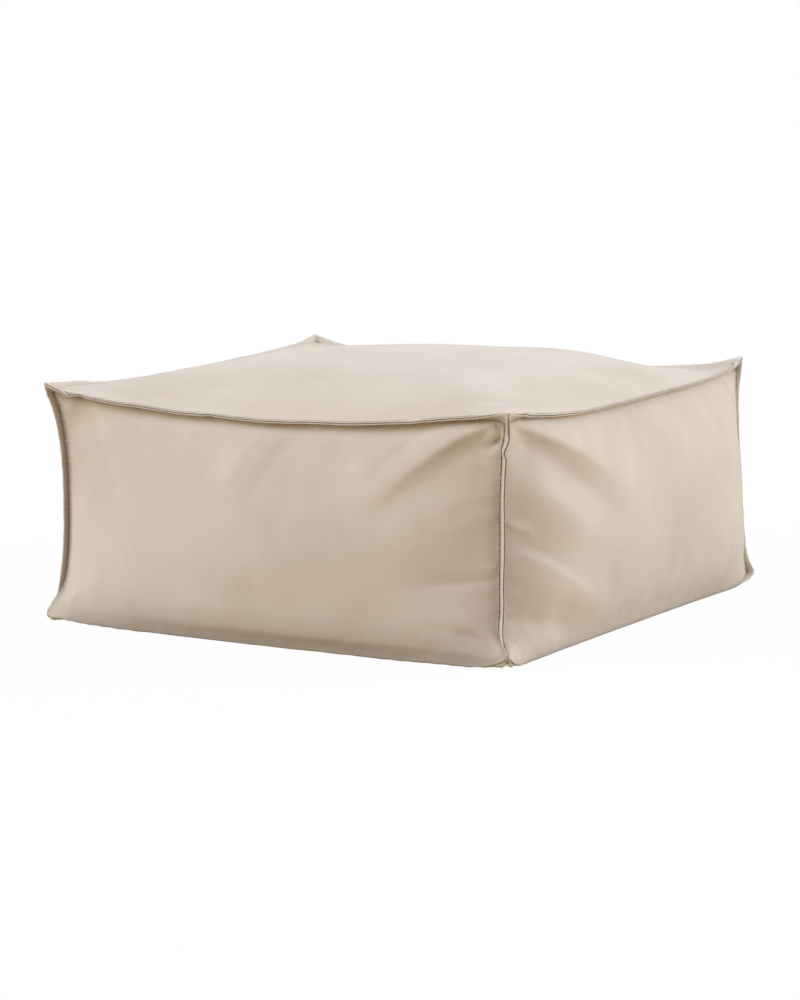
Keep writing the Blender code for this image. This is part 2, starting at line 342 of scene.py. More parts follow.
def smooth_over(values: np.ndarray, edges: np.ndarray, rounds: int) -> np.ndarray:
    """Averages values with their neighbours along the edges, again and again.

    Args:
        values: One row for each point.
        edges: Rows of two point numbers.
        rounds: How many times to average.

    Returns:
        The smoothed rows.
    """
    count = len(values)
    both = np.concatenate([edges, edges[:, ::-1]])
    degree = np.bincount(both[:, 0], minlength=count)[:, None] + 1.0
    smoothed = values.copy()
    for _ in range(rounds):
        total = smoothed.copy()
        for column in range(values.shape[1]):
            neighbours = smoothed[both[:, 1], column]
            total[:, column] += np.bincount(both[:, 0], weights=neighbours, minlength=count)
        smoothed = total / degree
    return smoothed


def surface_tree(pieces: Iterable[bpy.types.Object]) -> BVHTree:
    """A search tree over the faces of some pieces.

    Args:
        pieces: The mesh objects.

    Returns:
        The tree.
    """
    points: list[tuple[float, ...]] = []
    faces: list[tuple[int, ...]] = []
    for piece in pieces:
        first = len(points)
        points += [tuple(vertex.co) for vertex in piece.data.vertices]
        faces += [tuple(first + i for i in face.vertices) for face in piece.data.polygons]
    return BVHTree.FromPolygons(points, faces)


def faded(distance: np.ndarray, reach: float) -> np.ndarray:
    """0 at no distance and 1 from the reach on, rising smoothly."""
    share = np.clip(distance / reach, 0.0, 1.0)
    return share * share * (3 - 2 * share)


def noise_at(points: np.ndarray, wavelength: float, seed: float) -> np.ndarray:
    """Smooth noise from about -1 to 1 at each point.

    Args:
        points: Rows of x, y and z.
        wavelength: The rough distance between one swell and the next, in metres.
        seed: Moves the pattern.

    Returns:
        One value for each point.
    """
    shift = Vector([seed * step for step in SEED_STEPS])
    return np.array([noise.noise(Vector(point) / wavelength + shift) for point in points])


# Materials


class Graph:
    """Adds and wires the nodes of one node tree."""

    def __init__(self, tree: bpy.types.NodeTree) -> None:
        """Starts with an existing tree."""
        self.tree = tree

    def add(self, kind: str, links: dict[object, object] | None = None,
            **settings: object) -> bpy.types.Node:
        """Adds a node.

        Args:
            kind: The node's type name, without ShaderNode in front.
            links: For an input's name or number, the output socket wired to it, or its value.
            settings: Properties of the node.

        Returns:
            The node.
        """
        name = kind if kind.startswith("Node") else f"ShaderNode{kind}"
        node = self.tree.nodes.new(name)
        for prop, value in settings.items():
            setattr(node, prop, value)
        for socket, source in (links or {}).items():
            self.feed(node.inputs[socket], source)
        return node

    def feed(self, socket: bpy.types.NodeSocket, source: object) -> None:
        """Wires an output into a socket, or sets the socket's value.

        Args:
            socket: The input.
            source: The output socket, or the value.
        """
        if isinstance(source, bpy.types.NodeSocket):
            self.tree.links.new(source, socket)
        else:
            socket.default_value = source

    def math(self, operation: str, first: object, second: object = 0.0) -> bpy.types.NodeSocket:
        """The result of one sum, product or the like."""
        return self.add("Math", {0: first, 1: second}, operation=operation).outputs[0]

    def attribute(self, name: str) -> bpy.types.NodeSocket:
        """A number that the mesh keeps under a name."""
        return self.add("Attribute", attribute_name=name).outputs["Fac"]

    def mixed(self, factor: object, first: object, second: object) -> bpy.types.NodeSocket:
        """Two colours mixed: all of the first where the factor is 0."""
        return self.add("Mix", {0: factor, 6: first, 7: second}, data_type="RGBA").outputs[2]

    def scaled(self, value: object, lowest: float, highest: float,
               low: float, high: float) -> bpy.types.NodeSocket:
        """A value moved from the range lowest to highest into low to high, and kept inside it."""
        links = {"Value": value, "From Min": lowest, "From Max": highest, "To Min": low, "To Max": high}
        return self.add("MapRange", links).outputs["Result"]

    def place(self) -> None:
        """Spreads the nodes out, so that the tree can be read in the editor."""
        for number, node in enumerate(self.tree.nodes):
            node.location = (220 * (number % 8), -260 * (number // 8))


def node_group(name: str, inputs: dict[str, object],
               outputs: Iterable[str]) -> tuple[Graph, dict, bpy.types.Node]:
    """Starts a shader node group with named sockets, all of them numbers but for Vector.

    Args:
        name: The group's name.
        inputs: Each input's name and its usual value.
        outputs: The names of the outputs.

    Returns:
        The graph, the input sockets by name and the output node.
    """
    tree = bpy.data.node_groups.new(name, "ShaderNodeTree")
    for label, value in inputs.items():
        kind = "NodeSocketVector" if label == "Vector" else "NodeSocketFloat"
        socket = tree.interface.new_socket(label, in_out="INPUT", socket_type=kind)
        if kind == "NodeSocketFloat":
            socket.default_value = value
    for label in outputs:
        tree.interface.new_socket(label, in_out="OUTPUT", socket_type="NodeSocketFloat")
    graph = Graph(tree)
    source = graph.add("NodeGroupInput")
    return graph, {label: source.outputs[label] for label in inputs}, graph.add("NodeGroupOutput")


def weave_group() -> bpy.types.NodeTree:
    """A plain weave: one thread over, one under, in both directions.

    Returns:
        The node group.
    """
    graph, source, result = node_group("plain_weave", {"Vector": None, "Pitch": 0.001}, ["Height"])
    apart = graph.add("SeparateXYZ", {0: source["Vector"]})
    turns = graph.math("DIVIDE", math.pi, source["Pitch"])
    across = graph.math("SINE", graph.math("MULTIPLY", apart.outputs["X"], turns))
    along = graph.math("SINE", graph.math("MULTIPLY", apart.outputs["Y"], turns))
    graph.feed(result.inputs["Height"], graph.math("MULTIPLY", across, along))
    graph.place()
    return graph.tree


def slub_group() -> bpy.types.NodeTree:
    """Thicker lengths of yarn: short faint dashes along the warp and, fewer, along the weft.

    Returns:
        The node group.
    """
    ramp = 0.12  # how soon a dash reaches its full strength
    inputs = {"Vector": None, "Thickness": 0.0016, "Length": 0.03, "Rarity": 0.6}
    graph, source, result = node_group("yarn_slubs", inputs, ["Warp", "Weft"])
    apart = graph.add("SeparateXYZ", {0: source["Vector"]})
    for output, thin, long, seed in (("Warp", "X", "Y", 4.0), ("Weft", "Y", "X", 9.0)):
        place = graph.add("CombineXYZ", {
            "X": graph.math("DIVIDE", apart.outputs[thin], source["Thickness"]),
            "Y": graph.math("DIVIDE", apart.outputs[long], source["Length"]),
            "Z": seed,
        })
        links = {"Vector": place.outputs[0], "Scale": 1.0, "Detail": 1.0, "Roughness": 0.4}
        grain = graph.add("TexNoise", links)
        above = graph.math("SUBTRACT", grain.outputs["Fac"], source["Rarity"])
        graph.feed(result.inputs[output], graph.scaled(above, 0.0, ramp, 0.0, 1.0))
    graph.place()
    return graph.tree


def handling_group() -> bpy.types.NodeTree:
    """Slow changes of tone, as washed and handled cloth has, and a fine grain.

    Returns:
        The node group.
    """
    graph, source, result = node_group("handled_cloth", {"Vector": None, "Size": 0.2}, ["Tone", "Grain"])
    per_metre = graph.math("DIVIDE", 1.0, source["Size"])
    place = graph.add("VectorMath", {0: source["Vector"], "Scale": per_metre}, operation="SCALE")
    for output, scale, detail, roughness in (("Tone", 1.0, 4.0, 0.55), ("Grain", 60.0, 2.0, 0.6)):
        links = {"Vector": place.outputs[0], "Scale": scale, "Detail": detail, "Roughness": roughness}
        graph.feed(result.inputs[output], graph.add("TexNoise", links).outputs["Fac"])
    graph.place()
    return graph.tree


def pucker_group() -> bpy.types.NodeTree:
    """Small puckers across a seam, one for every stitch or two, which fade on the open cloth.

    Returns:
        The node group.
    """
    unevenness, sideways = 0.45, 2.4  # how often the stitching changes, and how far it shifts a pucker
    weakest = 0.15  # the height of the faintest puckers
    inputs = {"Near": 0.0, "Run": 0.0, "Pitch": 0.009}
    graph, source, result = node_group("stitch_puckers", inputs, ["Height"])
    turns = graph.math("DIVIDE", source["Run"], source["Pitch"])
    links = {"W": graph.math("MULTIPLY", turns, unevenness), "Scale": 1.0, "Detail": 2.0}
    uneven = graph.add("TexNoise", links, noise_dimensions="1D")
    drift = graph.math("MULTIPLY", graph.scaled(uneven.outputs["Fac"], 0.2, 0.8, -1.0, 1.0), sideways)
    wave = graph.math("SINE", graph.math("ADD", graph.math("MULTIPLY", turns, math.tau), drift))
    strength = graph.scaled(uneven.outputs["Fac"], 0.4, 0.62, weakest, 1.0)
    near = graph.math("POWER", source["Near"], 2.0)
    graph.feed(result.inputs["Height"], graph.math("MULTIPLY", graph.math("MULTIPLY", wave, strength), near))
    graph.place()
    return graph.tree


@dataclass(frozen=True)
class CanvasFinish:
    """Matt plain-woven cotton canvas, with painted shade beside the seams and a painted highlight along the
    lips' worn edges.
    """

    name: str
    pale: tuple[float, float, float] = (0.640, 0.560, 0.470)
    deep: tuple[float, float, float] = (0.575, 0.490, 0.400)
    # painted shade: the dark colour beside the seams and on the lips' outer faces
    seam_shade: tuple[float, float, float] = (0.23, 0.17, 0.12)
    # pale thick yarn, and the lips' outer edges: worn canvas with a painted highlight
    pale_yarn_worn_edge_and_highlight: tuple[float, float, float] = (0.72, 0.66, 0.58)
    thread_pitch: float = 0.0011
    weave_depth: float = 0.05  # heights in millimetres
    slub_depth: float = 0.10
    grain_depth: float = 0.10
    pucker_depth: float = 0.40
    tone_range: tuple[float, float] = (0.3, 0.7)  # the handling's noise between all pale and all deep
    slub_tone: float = 0.22  # how much paler a thick length of yarn is
    roughness: float = 0.93
    specular: float = 0.15
    sheen: float = 0.25
    sheen_roughness: float = 0.45
    # how strongly the painted seam shade shows
    seam_shade_strength: float = 0.65
    wear_and_highlight_strength: float = 0.0
    wear_and_highlight_power: float = 8.0  # the higher, the narrower the paler outer edge: wear with a painted highlight
    pucker_shade: float = 0.25  # how much the painted seam shade deepens between two puckers

    def material(self, groups: dict[str, bpy.types.NodeTree]) -> bpy.types.Material:
        """Builds the material.

        Args:
            groups: The shared node groups by name.

        Returns:
            The canvas material.
        """
        material = bpy.data.materials.new(self.name)
        material.use_nodes = True
        graph = Graph(material.node_tree)
        shader = material.node_tree.nodes["Principled BSDF"]
        cloth = graph.add("UVMap", uv_map="canvas").outputs["UV"]
        weave = graph.add("Group", {"Vector": cloth, "Pitch": self.thread_pitch}, node_tree=groups["weave"])
        slubs = graph.add("Group", {"Vector": cloth}, node_tree=groups["slubs"])
        where = graph.add("TexCoord").outputs["Object"]
        handled = graph.add("Group", {"Vector": where}, node_tree=groups["handling"])
        stitched = {"Near": graph.attribute(NEAR_SEAM), "Run": graph.attribute(SEAM_RUN)}
        puckers = graph.add("Group", stitched, node_tree=groups["puckers"])

        tone = graph.scaled(handled.outputs["Tone"], *self.tone_range, 0.0, 1.0)
        colour = graph.mixed(tone, (*self.pale, 1.0), (*self.deep, 1.0))
        dashes = graph.math("MULTIPLY", slubs.outputs["Warp"], self.slub_tone)
        colour = graph.mixed(dashes, colour, (*self.pale_yarn_worn_edge_and_highlight, 1.0))
        # painted shade beside the seams, rising and falling with the puckers
        ticked = graph.math("MULTIPLY_ADD", puckers.outputs["Height"], self.pucker_shade)
        graph.feed(ticked.node.inputs[2], self.seam_shade_strength)
        shade = graph.math("MULTIPLY", graph.attribute(SEAM_SHADE), ticked)
        colour = graph.mixed(shade, colour, (*self.seam_shade, 1.0))
        # the lips' outer edges paler: worn canvas with a painted highlight along the edge
        rise = graph.math("POWER", graph.attribute(LIP_RISE), self.wear_and_highlight_power)
        edge_wear_and_highlight = graph.math("MULTIPLY", rise, self.wear_and_highlight_strength)
        colour = graph.mixed(edge_wear_and_highlight, colour, (*self.pale_yarn_worn_edge_and_highlight, 1.0))
        graph.feed(shader.inputs["Base Color"], colour)

        height = graph.math("MULTIPLY", weave.outputs["Height"], self.weave_depth)
        for output, depth in ((slubs.outputs["Warp"], self.slub_depth),
                              (slubs.outputs["Weft"], self.slub_depth / 2),
                              (handled.outputs["Grain"], self.grain_depth),
                              (puckers.outputs["Height"], self.pucker_depth)):
            height = graph.math("ADD", height, graph.math("MULTIPLY", output, depth))
        bump = graph.add("Bump", {"Height": height, "Strength": 1.0, "Distance": MILLIMETRE})
        graph.feed(shader.inputs["Normal"], bump.outputs["Normal"])

        surface = {
            "Roughness": self.roughness,
            "Specular IOR Level": self.specular,
            "Sheen Weight": self.sheen,
            "Sheen Roughness": self.sheen_roughness,
        }
        for label, value in surface.items():
            shader.inputs[label].default_value = value
        graph.place()
        return material


# The seams


class Foot(NamedTuple):
    """A bottom corner where the filled cloth settles over its own flange."""

    place: tuple[float, float, float]
    reach: float


class Wave(NamedTuple):
    """One kind of unevenness along a flange."""

    height: float
    length: float
    seed: float


FEET = (Foot((-0.445, -0.445, 0.010), 0.042), Foot((0.450, -0.450, 0.010), 0.040))
SWAY = (Wave(0.0016, 0.085, 2.0), Wave(0.0006, 0.026, 5.0))
CORNER_HOLD = 0.035  # the flange holds still this near to a corner


@dataclass(frozen=True)
class SeamLine:
    """One sewn seam between two panels, sampled every few millimetres from its low end to its high end."""

    first: Panel
    second: Panel
    roots: np.ndarray
    outs: np.ndarray  # which way the flange stands at each sample
    widths: np.ndarray  # how far it stands

    @property
    def axis(self) -> int:
        """The axis that the seam runs along."""
        return self.first.seam_axis(self.second)

    @property
    def acrosses(self) -> np.ndarray:
        """Square to the seam and to its flange at each sample, toward the first panel.

        Returns:
            One row of x, y and z for each sample.
        """
        across = np.cross(np.gradient(self.roots, axis=0), self.outs)
        across /= np.linalg.norm(across, axis=1, keepdims=True)
        toward_first = self.first.normal - self.second.normal
        return across * np.sign(across @ toward_first)[:, None]

    @property
    def from_end(self) -> np.ndarray:
        """How far each sample is from the nearer corner.

        Returns:
            One distance for each sample.
        """
        low = np.linalg.norm(self.roots - self.roots[0], axis=1)
        high = np.linalg.norm(self.roots - self.roots[-1], axis=1)
        return np.minimum(low, high)


@dataclass(frozen=True)
class SeamPlaces:
    """For each point of a piece, the seam sample nearest to it."""

    line: np.ndarray  # the number of the seam in SeamNet.lines
    distance: np.ndarray
    root: np.ndarray
    out: np.ndarray
    across: np.ndarray
    width: np.ndarray
    from_end: np.ndarray


class SeamNet:
    """The pouf's twelve seams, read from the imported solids, so that all pieces move together there."""

    SAMPLE = 0.003  # metres between samples
    ROOT_REACH = 0.0032  # a sewn point of the cover is nearer than this to a lip
    CORNER = 0.0015  # a corner's point is as near to its third lip as to its second, to within this
    EVEN = 0.0006  # a point in the middle of a seam is as near to both of its lips, to within this
    ROOT_ROUNDS = 6  # rounds of averaging that even out a seam's roots
    NEIGHBOURS = 5  # samples on each side that share in a flange's direction
    TIP_REACH = 0.008  # a lip's points farther than this from the root show which way it stands

    def __init__(self, nodes: dict[str, bpy.types.Object]) -> None:
        """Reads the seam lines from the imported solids.

        Args:
            nodes: The CAD nodes by name.
        """
        lips = {panel: surface_tree([nodes[panel.edge_node]]) for panel in Panel}
        body = merged_points_of(nodes[COVER_NODE])
        away = np.array([[lips[panel].find_nearest(point)[3] for panel in Panel] for point in body])
        ranked = np.sort(away, axis=1)
        sewn = (away <= ranked[:, 1:2]) | (away < ranked[:, 1:2] + self.CORNER)
        sewn &= ranked[:, :1] < self.ROOT_REACH
        pairs = [(first, second) for first in Panel for second in Panel
                 if first.index < second.index and first.axis != second.axis]
        rows = []
        for first, second in pairs:
            mine = sewn[:, first.index] & sewn[:, second.index]
            nearer = away[mine, first.index] - away[mine, second.index]
            rows.append(self._sampled(body[mine], nearer, first.seam_axis(second)))
        clouds = {panel: merged_points_of(nodes[panel.edge_node]) for panel in Panel}
        self.lines = [self._line(first, second, rows, number, clouds)
                      for number, (first, second) in enumerate(pairs)]
        metres = sum(len(row) for row in rows) * self.SAMPLE
        LOG.info("seams found: %d, %.2f m in all", len(self.lines), metres)

    def _sampled(self, points: np.ndarray, nearer: np.ndarray, axis: int) -> np.ndarray:
        """Finds the middle of a seam, between the cloth's edges at its two lips.

        Args:
            points: The cover's points on the seam.
            nearer: How much farther each is from the first lip than from the second.
            axis: The axis that the seam runs along.

        Returns:
            The seam's root samples, in order and evenly spaced.
        """
        low, high = points[:, axis].min(), points[:, axis].max()
        even = np.linspace(low, high, int((high - low) / self.SAMPLE) + 1)
        total = np.zeros((len(even), 3))
        for side in (nearer < self.EVEN, nearer > -self.EVEN):
            row = points[side][np.argsort(points[side][:, axis])]
            total += np.column_stack([np.interp(even, row[:, axis], row[:, i]) for i in range(3)])
        roots = total / 2
        for _ in range(self.ROOT_ROUNDS):
            roots[1:-1] = (roots[:-2] + 2 * roots[1:-1] + roots[2:]) / 4
        return roots

    def _line(self, first: Panel, second: Panel, rows: list[np.ndarray], number: int,
              clouds: dict[Panel, np.ndarray]) -> SeamLine:
        """Works out which way one seam's flange stands, from the outer points of its two lips.

        Args:
            first: The seam's first panel.
            second: Its second panel.
            rows: The root samples of every seam.
            number: Which of the rows this seam's are.
            clouds: The points of each panel's lips.

        Returns:
            The seam.
        """
        roots = rows[number]
        total = np.zeros((len(roots), 4))  # the sum of the ways out, then how many
        for point in np.concatenate([clouds[first], clouds[second]]):
            gaps = [np.linalg.norm(row - point, axis=1).min() for row in rows]
            if self.TIP_REACH < gaps[number] < min(gaps) + MILLIMETRE:
                sample = np.linalg.norm(roots - point, axis=1).argmin()
                total[sample] += (*(point - roots[sample]), 1.0)
        known = np.flatnonzero(total[:, 3])
        outs = total[known, :3] / total[known, 3:]
        places = np.arange(len(roots))
        outs = self._evened(np.column_stack([np.interp(places, known, outs[:, i]) for i in range(3)]))
        widths = np.linalg.norm(outs, axis=1)
        return SeamLine(first, second, roots, outs / widths[:, None], widths)

    def _evened(self, rows: np.ndarray) -> np.ndarray:
        """Averages each row with its neighbours, so that a flange turns gradually.

        Args:
            rows: One row of x, y and z for each sample of a seam.

        Returns:
            The averages; a row near a corner has fewer neighbours, and the last row has none.
        """
        last = len(rows) - 1
        spans = [min(self.NEIGHBOURS, place, last - place) for place in range(len(rows))]
        windows = [rows[place - span:place + span + 1] for place, span in enumerate(spans)]
        return np.array([window.mean(axis=0) for window in windows])

    def near(self, points: np.ndarray, panel: Panel | None = None) -> SeamPlaces:
        """Finds the nearest seam sample to each point.

        Args:
            points: Rows of x, y and z.
            panel: Where it is given, only this panel's four seams count.

        Returns:
            The samples' places, one for each point.
        """
        numbers = [i for i, line in enumerate(self.lines) if panel in (None, line.first, line.second)]
        chosen = [self.lines[i] for i in numbers]
        roots = np.concatenate([line.roots for line in chosen])
        tree = KDTree(len(roots))
        for number, root in enumerate(roots):
            tree.insert(root, number)
        tree.balance()
        found = [tree.find(point)[1:] for point in points]
        sample = np.array([index for index, _ in found])

        def sampled(parts: list[np.ndarray]) -> np.ndarray:
            """The chosen seams' values at the nearest samples."""
            return np.concatenate(parts)[sample]

        return SeamPlaces(
            line=np.repeat(numbers, [len(line.roots) for line in chosen])[sample],
            distance=np.array([distance for _, distance in found]),
            root=roots[sample],
            out=sampled([line.outs for line in chosen]),
            across=sampled([line.acrosses for line in chosen]),
            width=sampled([line.widths for line in chosen]),
            from_end=sampled([line.from_end for line in chosen]),
        )

    def number_of(self, first: Panel, second: Panel) -> int:
        """Which seam joins two panels."""
        return next(i for i, line in enumerate(self.lines) if {line.first, line.second} == {first, second})

    def run_of(self, places: SeamPlaces) -> np.ndarray:
        """Metres along the nearest seam at each point."""
        axes = np.array([line.axis for line in self.lines])[places.line]
        return places.root[np.arange(len(axes)), axes]

    def kinked(self, places: SeamPlaces, share: np.ndarray, kinks: Iterable[Kink]) -> np.ndarray:
        """How far the kinks move each point.

        Args:
            places: Where the points are on the seams.
            share: 0 at a seam's root or on the cover, 1 at a lip's outer edge.
            kinks: The kinks.

        Returns:
            One row of x, y and z for each point.
        """
        moved = np.zeros((len(share), 3))
        for kink in kinks:
            number = self.number_of(kink.first, kink.second)
            axis = self.lines[number].axis
            off = (places.root[:, axis] - kink.place) / kink.reach
            strength = np.exp(-off**2) * (places.line == number) * (kink.root + (1 - kink.root) * share)
            moved += strength[:, None] * np.array(kink.shift)
        return moved


def flange_sway(places: SeamPlaces) -> np.ndarray:
    """How far the flange leans toward its first panel, at its outer edge, as sewn canvas does."""
    lean = sum(wave.height * noise_at(places.root, wave.length, wave.seed) for wave in SWAY)
    return lean * faded(places.from_end, CORNER_HOLD)


def foot_cover(places: SeamPlaces) -> np.ndarray:
    """How far the cloth of the two front feet covers the flange.

    Args:
        places: Where the points are on the seams.

    Returns:
        For each point, 1 at a foot's corner, fading to 0.
    """
    covered = np.zeros(len(places.line))
    for foot in FEET:
        away = np.linalg.norm(places.root - np.array(foot.place), axis=1) / foot.reach
        covered = np.maximum(covered, np.exp(-away**2))
    return covered


# The filled cover


@dataclass
class FilledCover:
    """The six panels of canvas as one filled piece, drawn in at the sewn seams."""

    seams: SeamNet
    creases: dict[Panel, tuple[Crease, ...]]
    swellings: dict[Panel, tuple[Swelling, ...]]
    gathers: tuple[Gathers, ...]
    fits: tuple[SeamFit, ...]
    kinks: tuple[Kink, ...]
    name: str = "filled_cover"
    finest: tuple[Panel, ...] = (Panel.FRONT, Panel.RIGHT)  # the panels with the finest folds
    merge: float = 0.00005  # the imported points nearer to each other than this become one
    pair_bend: float = 70.0  # degrees between two triangles that make a pair, at most
    pair_skew: float = 80.0  # degrees that a pair may be from square
    pressure: float = 4.0
    spare_cloth: float = 0.02  # how much wider the cloth is than the space it fills
    frames: int = 20
    crumple_hold: float = 0.045  # the crumpling grows to full height this far from a seam
    broad_rounds: int = 60  # rounds of averaging that leave only the broad swell
    crumple_share: float = 0.35  # how much of the crumpling is kept
    cap: float = 0.002  # the most that the simulation may move a point
    soften_rounds: int = 3  # rounds of averaging that soften the finest panels
    fold_seed: int = 11
    seam_hold: float = 0.007  # folds grow to full height this far from a seam
    pucker_reach: float = 0.012  # how far the seams' small puckers reach
    floor_puckers: float = 0.35  # the share of them along the base, where the pouf's weight smooths the cloth
    top_shade: float = 0.20  # how much of a seam's painted shade shows on the open top
    dip_reach: float = 0.006  # where the cloth sinks most beside a seam
    lip_cover: float = 0.0006  # how far outside the lips the climbing cloth lies
    corner_climb: float = 0.003  # how far the cloth climbs the lips at a corner
    corner_reach: float = 0.045  # how far from a corner its own climb gives way to the seam's
    corner_fade: float = 0.012  # how far into the panels the climb reaches at a corner
    foot_climb: float = 0.021  # how far it climbs where a foot covers the flange
    kink_fade: float = 0.022  # how far from a seam its kinks pull the cloth
    fill: float = 0.65

    def build(self, nodes: dict[str, bpy.types.Object]) -> bpy.types.Object:
        """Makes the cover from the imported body.

        Args:
            nodes: The CAD nodes by name.

        Returns:
            The finished piece.
        """
        self.piece = quad_copy(nodes[COVER_NODE], self.name, self.merge, self.pair_bend, self.pair_skew)
        self._mark_seams(nodes)
        subdivide_smoothly(self.piece)
        self._fill_with_pressure()
        subdivide_smoothly(self.piece)
        self._refine()
        self._read_seams()
        self._fold()
        self._lay_to_seams()
        self._unwrap()
        take_up(self.piece)
        bpy.ops.object.shade_smooth()
        return self.piece

    def _mark_seams(self, nodes: dict[str, bpy.types.Object]) -> None:
        """Marks the sewn lines, keeps them crisp, and numbers each face with its panel.

        Args:
            nodes: The CAD nodes by name.
        """
        points = points_of(self.piece)
        lips = surface_tree([nodes[panel.edge_node] for panel in Panel])
        sewn = np.array([lips.find_nearest(point)[3] < self.seams.ROOT_REACH for point in points])
        group = self.piece.vertex_groups.new(name=SEAM_GROUP)
        group.add([int(i) for i in np.flatnonzero(sewn)], 1.0, "REPLACE")
        edges = edges_of(self.piece)
        store(self.piece, "crease_edge", sewn[edges].all(axis=1), domain="EDGE")
        faces = self.piece.data.polygons
        open_faces = [face.index for face in faces
                      if not sewn[list(face.vertices)].all()
                      or lips.find_nearest(face.center)[3] > self.seams.ROOT_REACH]
        store(self.piece, PANEL_INDEX, self._panel_numbers(open_faces), kind="INT", domain="FACE")

    def _panel_numbers(self, open_faces: list[int]) -> np.ndarray:
        """Finds each face's panel from the way that its whole connected group faces.

        Args:
            open_faces: The faces outside the narrow strip under the flanges.

        Returns:
            Each face's panel number, or -1 in the strip.
        """
        faces = self.piece.data.polygons
        label = {face: face for face in open_faces}

        def root(face: int) -> int:
            """Finds the face that stands for a connected group.

            Args:
                face: A face of the group.

            Returns:
                The group's face.
            """
            while label[face] != face:
                label[face] = label[label[face]]
                face = label[face]
            return face

        first_of: dict[tuple[int, int], int] = {}
        for face in open_faces:
            for key in faces[face].edge_keys:
                label[root(face)] = root(first_of.setdefault(key, face))
        totals: dict[int, np.ndarray] = {}
        for face in open_faces:
            weighted = np.array(faces[face].normal) * faces[face].area
            totals[root(face)] = totals.get(root(face), np.zeros(3)) + weighted
        numbers = np.full(len(faces), -1)
        for face in open_faces:
            total = totals[root(face)]
            numbers[face] = max(Panel, key=lambda panel: float(panel.normal @ total)).index
        LOG.info("panels found: %d", len(totals))
        return numbers

    def _fill_with_pressure(self) -> None:
        """Fills the cover by cloth simulation and keeps the crumpling it finds, without the broad swell."""
        before = points_of(self.piece)
        take_up(self.piece)
        bpy.ops.object.modifier_add(type="CLOTH")
        cloth = self.piece.modifiers[-1]
        settings = cloth.settings
        settings.quality = 6
        settings.mass = 0.25
        settings.tension_stiffness = 20.0
        settings.compression_stiffness = 20.0
        settings.shear_stiffness = 8.0
        settings.bending_stiffness = 0.6
        settings.vertex_group_mass = SEAM_GROUP
        settings.shrink_min = -self.spare_cloth
        settings.use_pressure = True
        settings.uniform_pressure_force = self.pressure
        settings.effector_weights.gravity = 0.0
        cloth.collision_settings.use_collision = False
        cloth.collision_settings.use_self_collision = False
        cloth.point_cache.frame_start = 1
        cloth.point_cache.frame_end = self.frames
        for step in range(1, self.frames + 1):
            bpy.context.scene.frame_set(step)
        bpy.ops.object.modifier_apply(modifier=cloth.name)
        bpy.context.scene.frame_set(1)
        moved = points_of(self.piece) - before
        crumple = moved - smooth_over(moved, edges_of(self.piece), self.broad_rounds)
        lips = self.seams.near(before)
        crumple *= self.crumple_share * faded(lips.distance, self.crumple_hold)[:, None]
        length = np.linalg.norm(crumple, axis=1, keepdims=True)
        crumple *= np.minimum(1.0, self.cap / np.maximum(length, 1e-9))
        LOG.info("crumpling kept: up to %.1f mm before its cap", length.max() / MILLIMETRE)
        set_points(self.piece, before + crumple)

    def _refine(self) -> None:
        """Subdivides the panels that carry the finest folds once more."""
        numbers = self._face_panels()
        mesh = self.piece.data
        mesh.polygons.foreach_set("select", np.isin(numbers, [panel.index for panel in self.finest]))
        take_up(self.piece)
        bpy.ops.object.mode_set(mode="EDIT")
        bpy.ops.mesh.select_mode(type="FACE")
        bpy.ops.mesh.subdivide(number_cuts=1, smoothness=0.0)
        bpy.ops.object.mode_set(mode="OBJECT")

    def _face_panels(self) -> np.ndarray:
        """Each face's panel number."""
        return read_rows(self.piece.data.attributes[PANEL_INDEX].data, "value", 1, np.int32)[:, 0]

    def _read_seams(self) -> None:
        """Works out each point's panel, its distance from the seams and its place on the nearest one."""
        mesh = self.piece.data
        numbers = self._face_panels()
        self.point_panel = np.full(len(mesh.vertices), -1)
        for face, number in zip(mesh.polygons, numbers):
            if number >= 0:
                self.point_panel[list(face.vertices)] = number
        points = points_of(self.piece)
        strip = [tuple(face.vertices) for face, number in zip(mesh.polygons, numbers) if number < 0]
        tree = BVHTree.FromPolygons([tuple(point) for point in points], strip)
        self.seam_distance = np.array([tree.find_nearest(point)[3] for point in points])
        self.places = self.seams.near(points)

    def _fold(self) -> None:
        """Softens the finest panels and raises the swellings, creases and gathers of each panel."""
        points = points_of(self.piece)
        relaxed = smooth_over(points, edges_of(self.piece), self.soften_rounds)
        finest = np.isin(self.point_panel, [panel.index for panel in self.finest])
        soft = finest & (self.seam_distance > self.seam_hold)
        points[soft] = relaxed[soft]
        set_points(self.piece, points)
        normals = normals_of(self.piece)
        hold = faded(self.seam_distance, self.seam_hold)
        random.seed(self.fold_seed)
        for panel in Panel:
            mine = np.flatnonzero(self.point_panel == panel.index)
            flat = points[mine][:, panel.span]
            height = np.zeros(len(mine))
            for place, radius, rise in self.swellings.get(panel, ()):
                off = np.linalg.norm(flat - np.array(place), axis=1) / radius
                height += rise * np.exp(-off**2) * faded(self.seam_distance[mine], radius)
            folds = list(self.creases.get(panel, ()))
            for row in self.gathers:
                if row.panel is panel:
                    folds += self._gather_creases(row, flat[self.seam_distance[mine] < self.seam_hold])
            for crease in folds:
                height += self._crease_height(flat, crease)
            points[mine] += (height * hold[mine])[:, None] * normals[mine]
        set_points(self.piece, points)

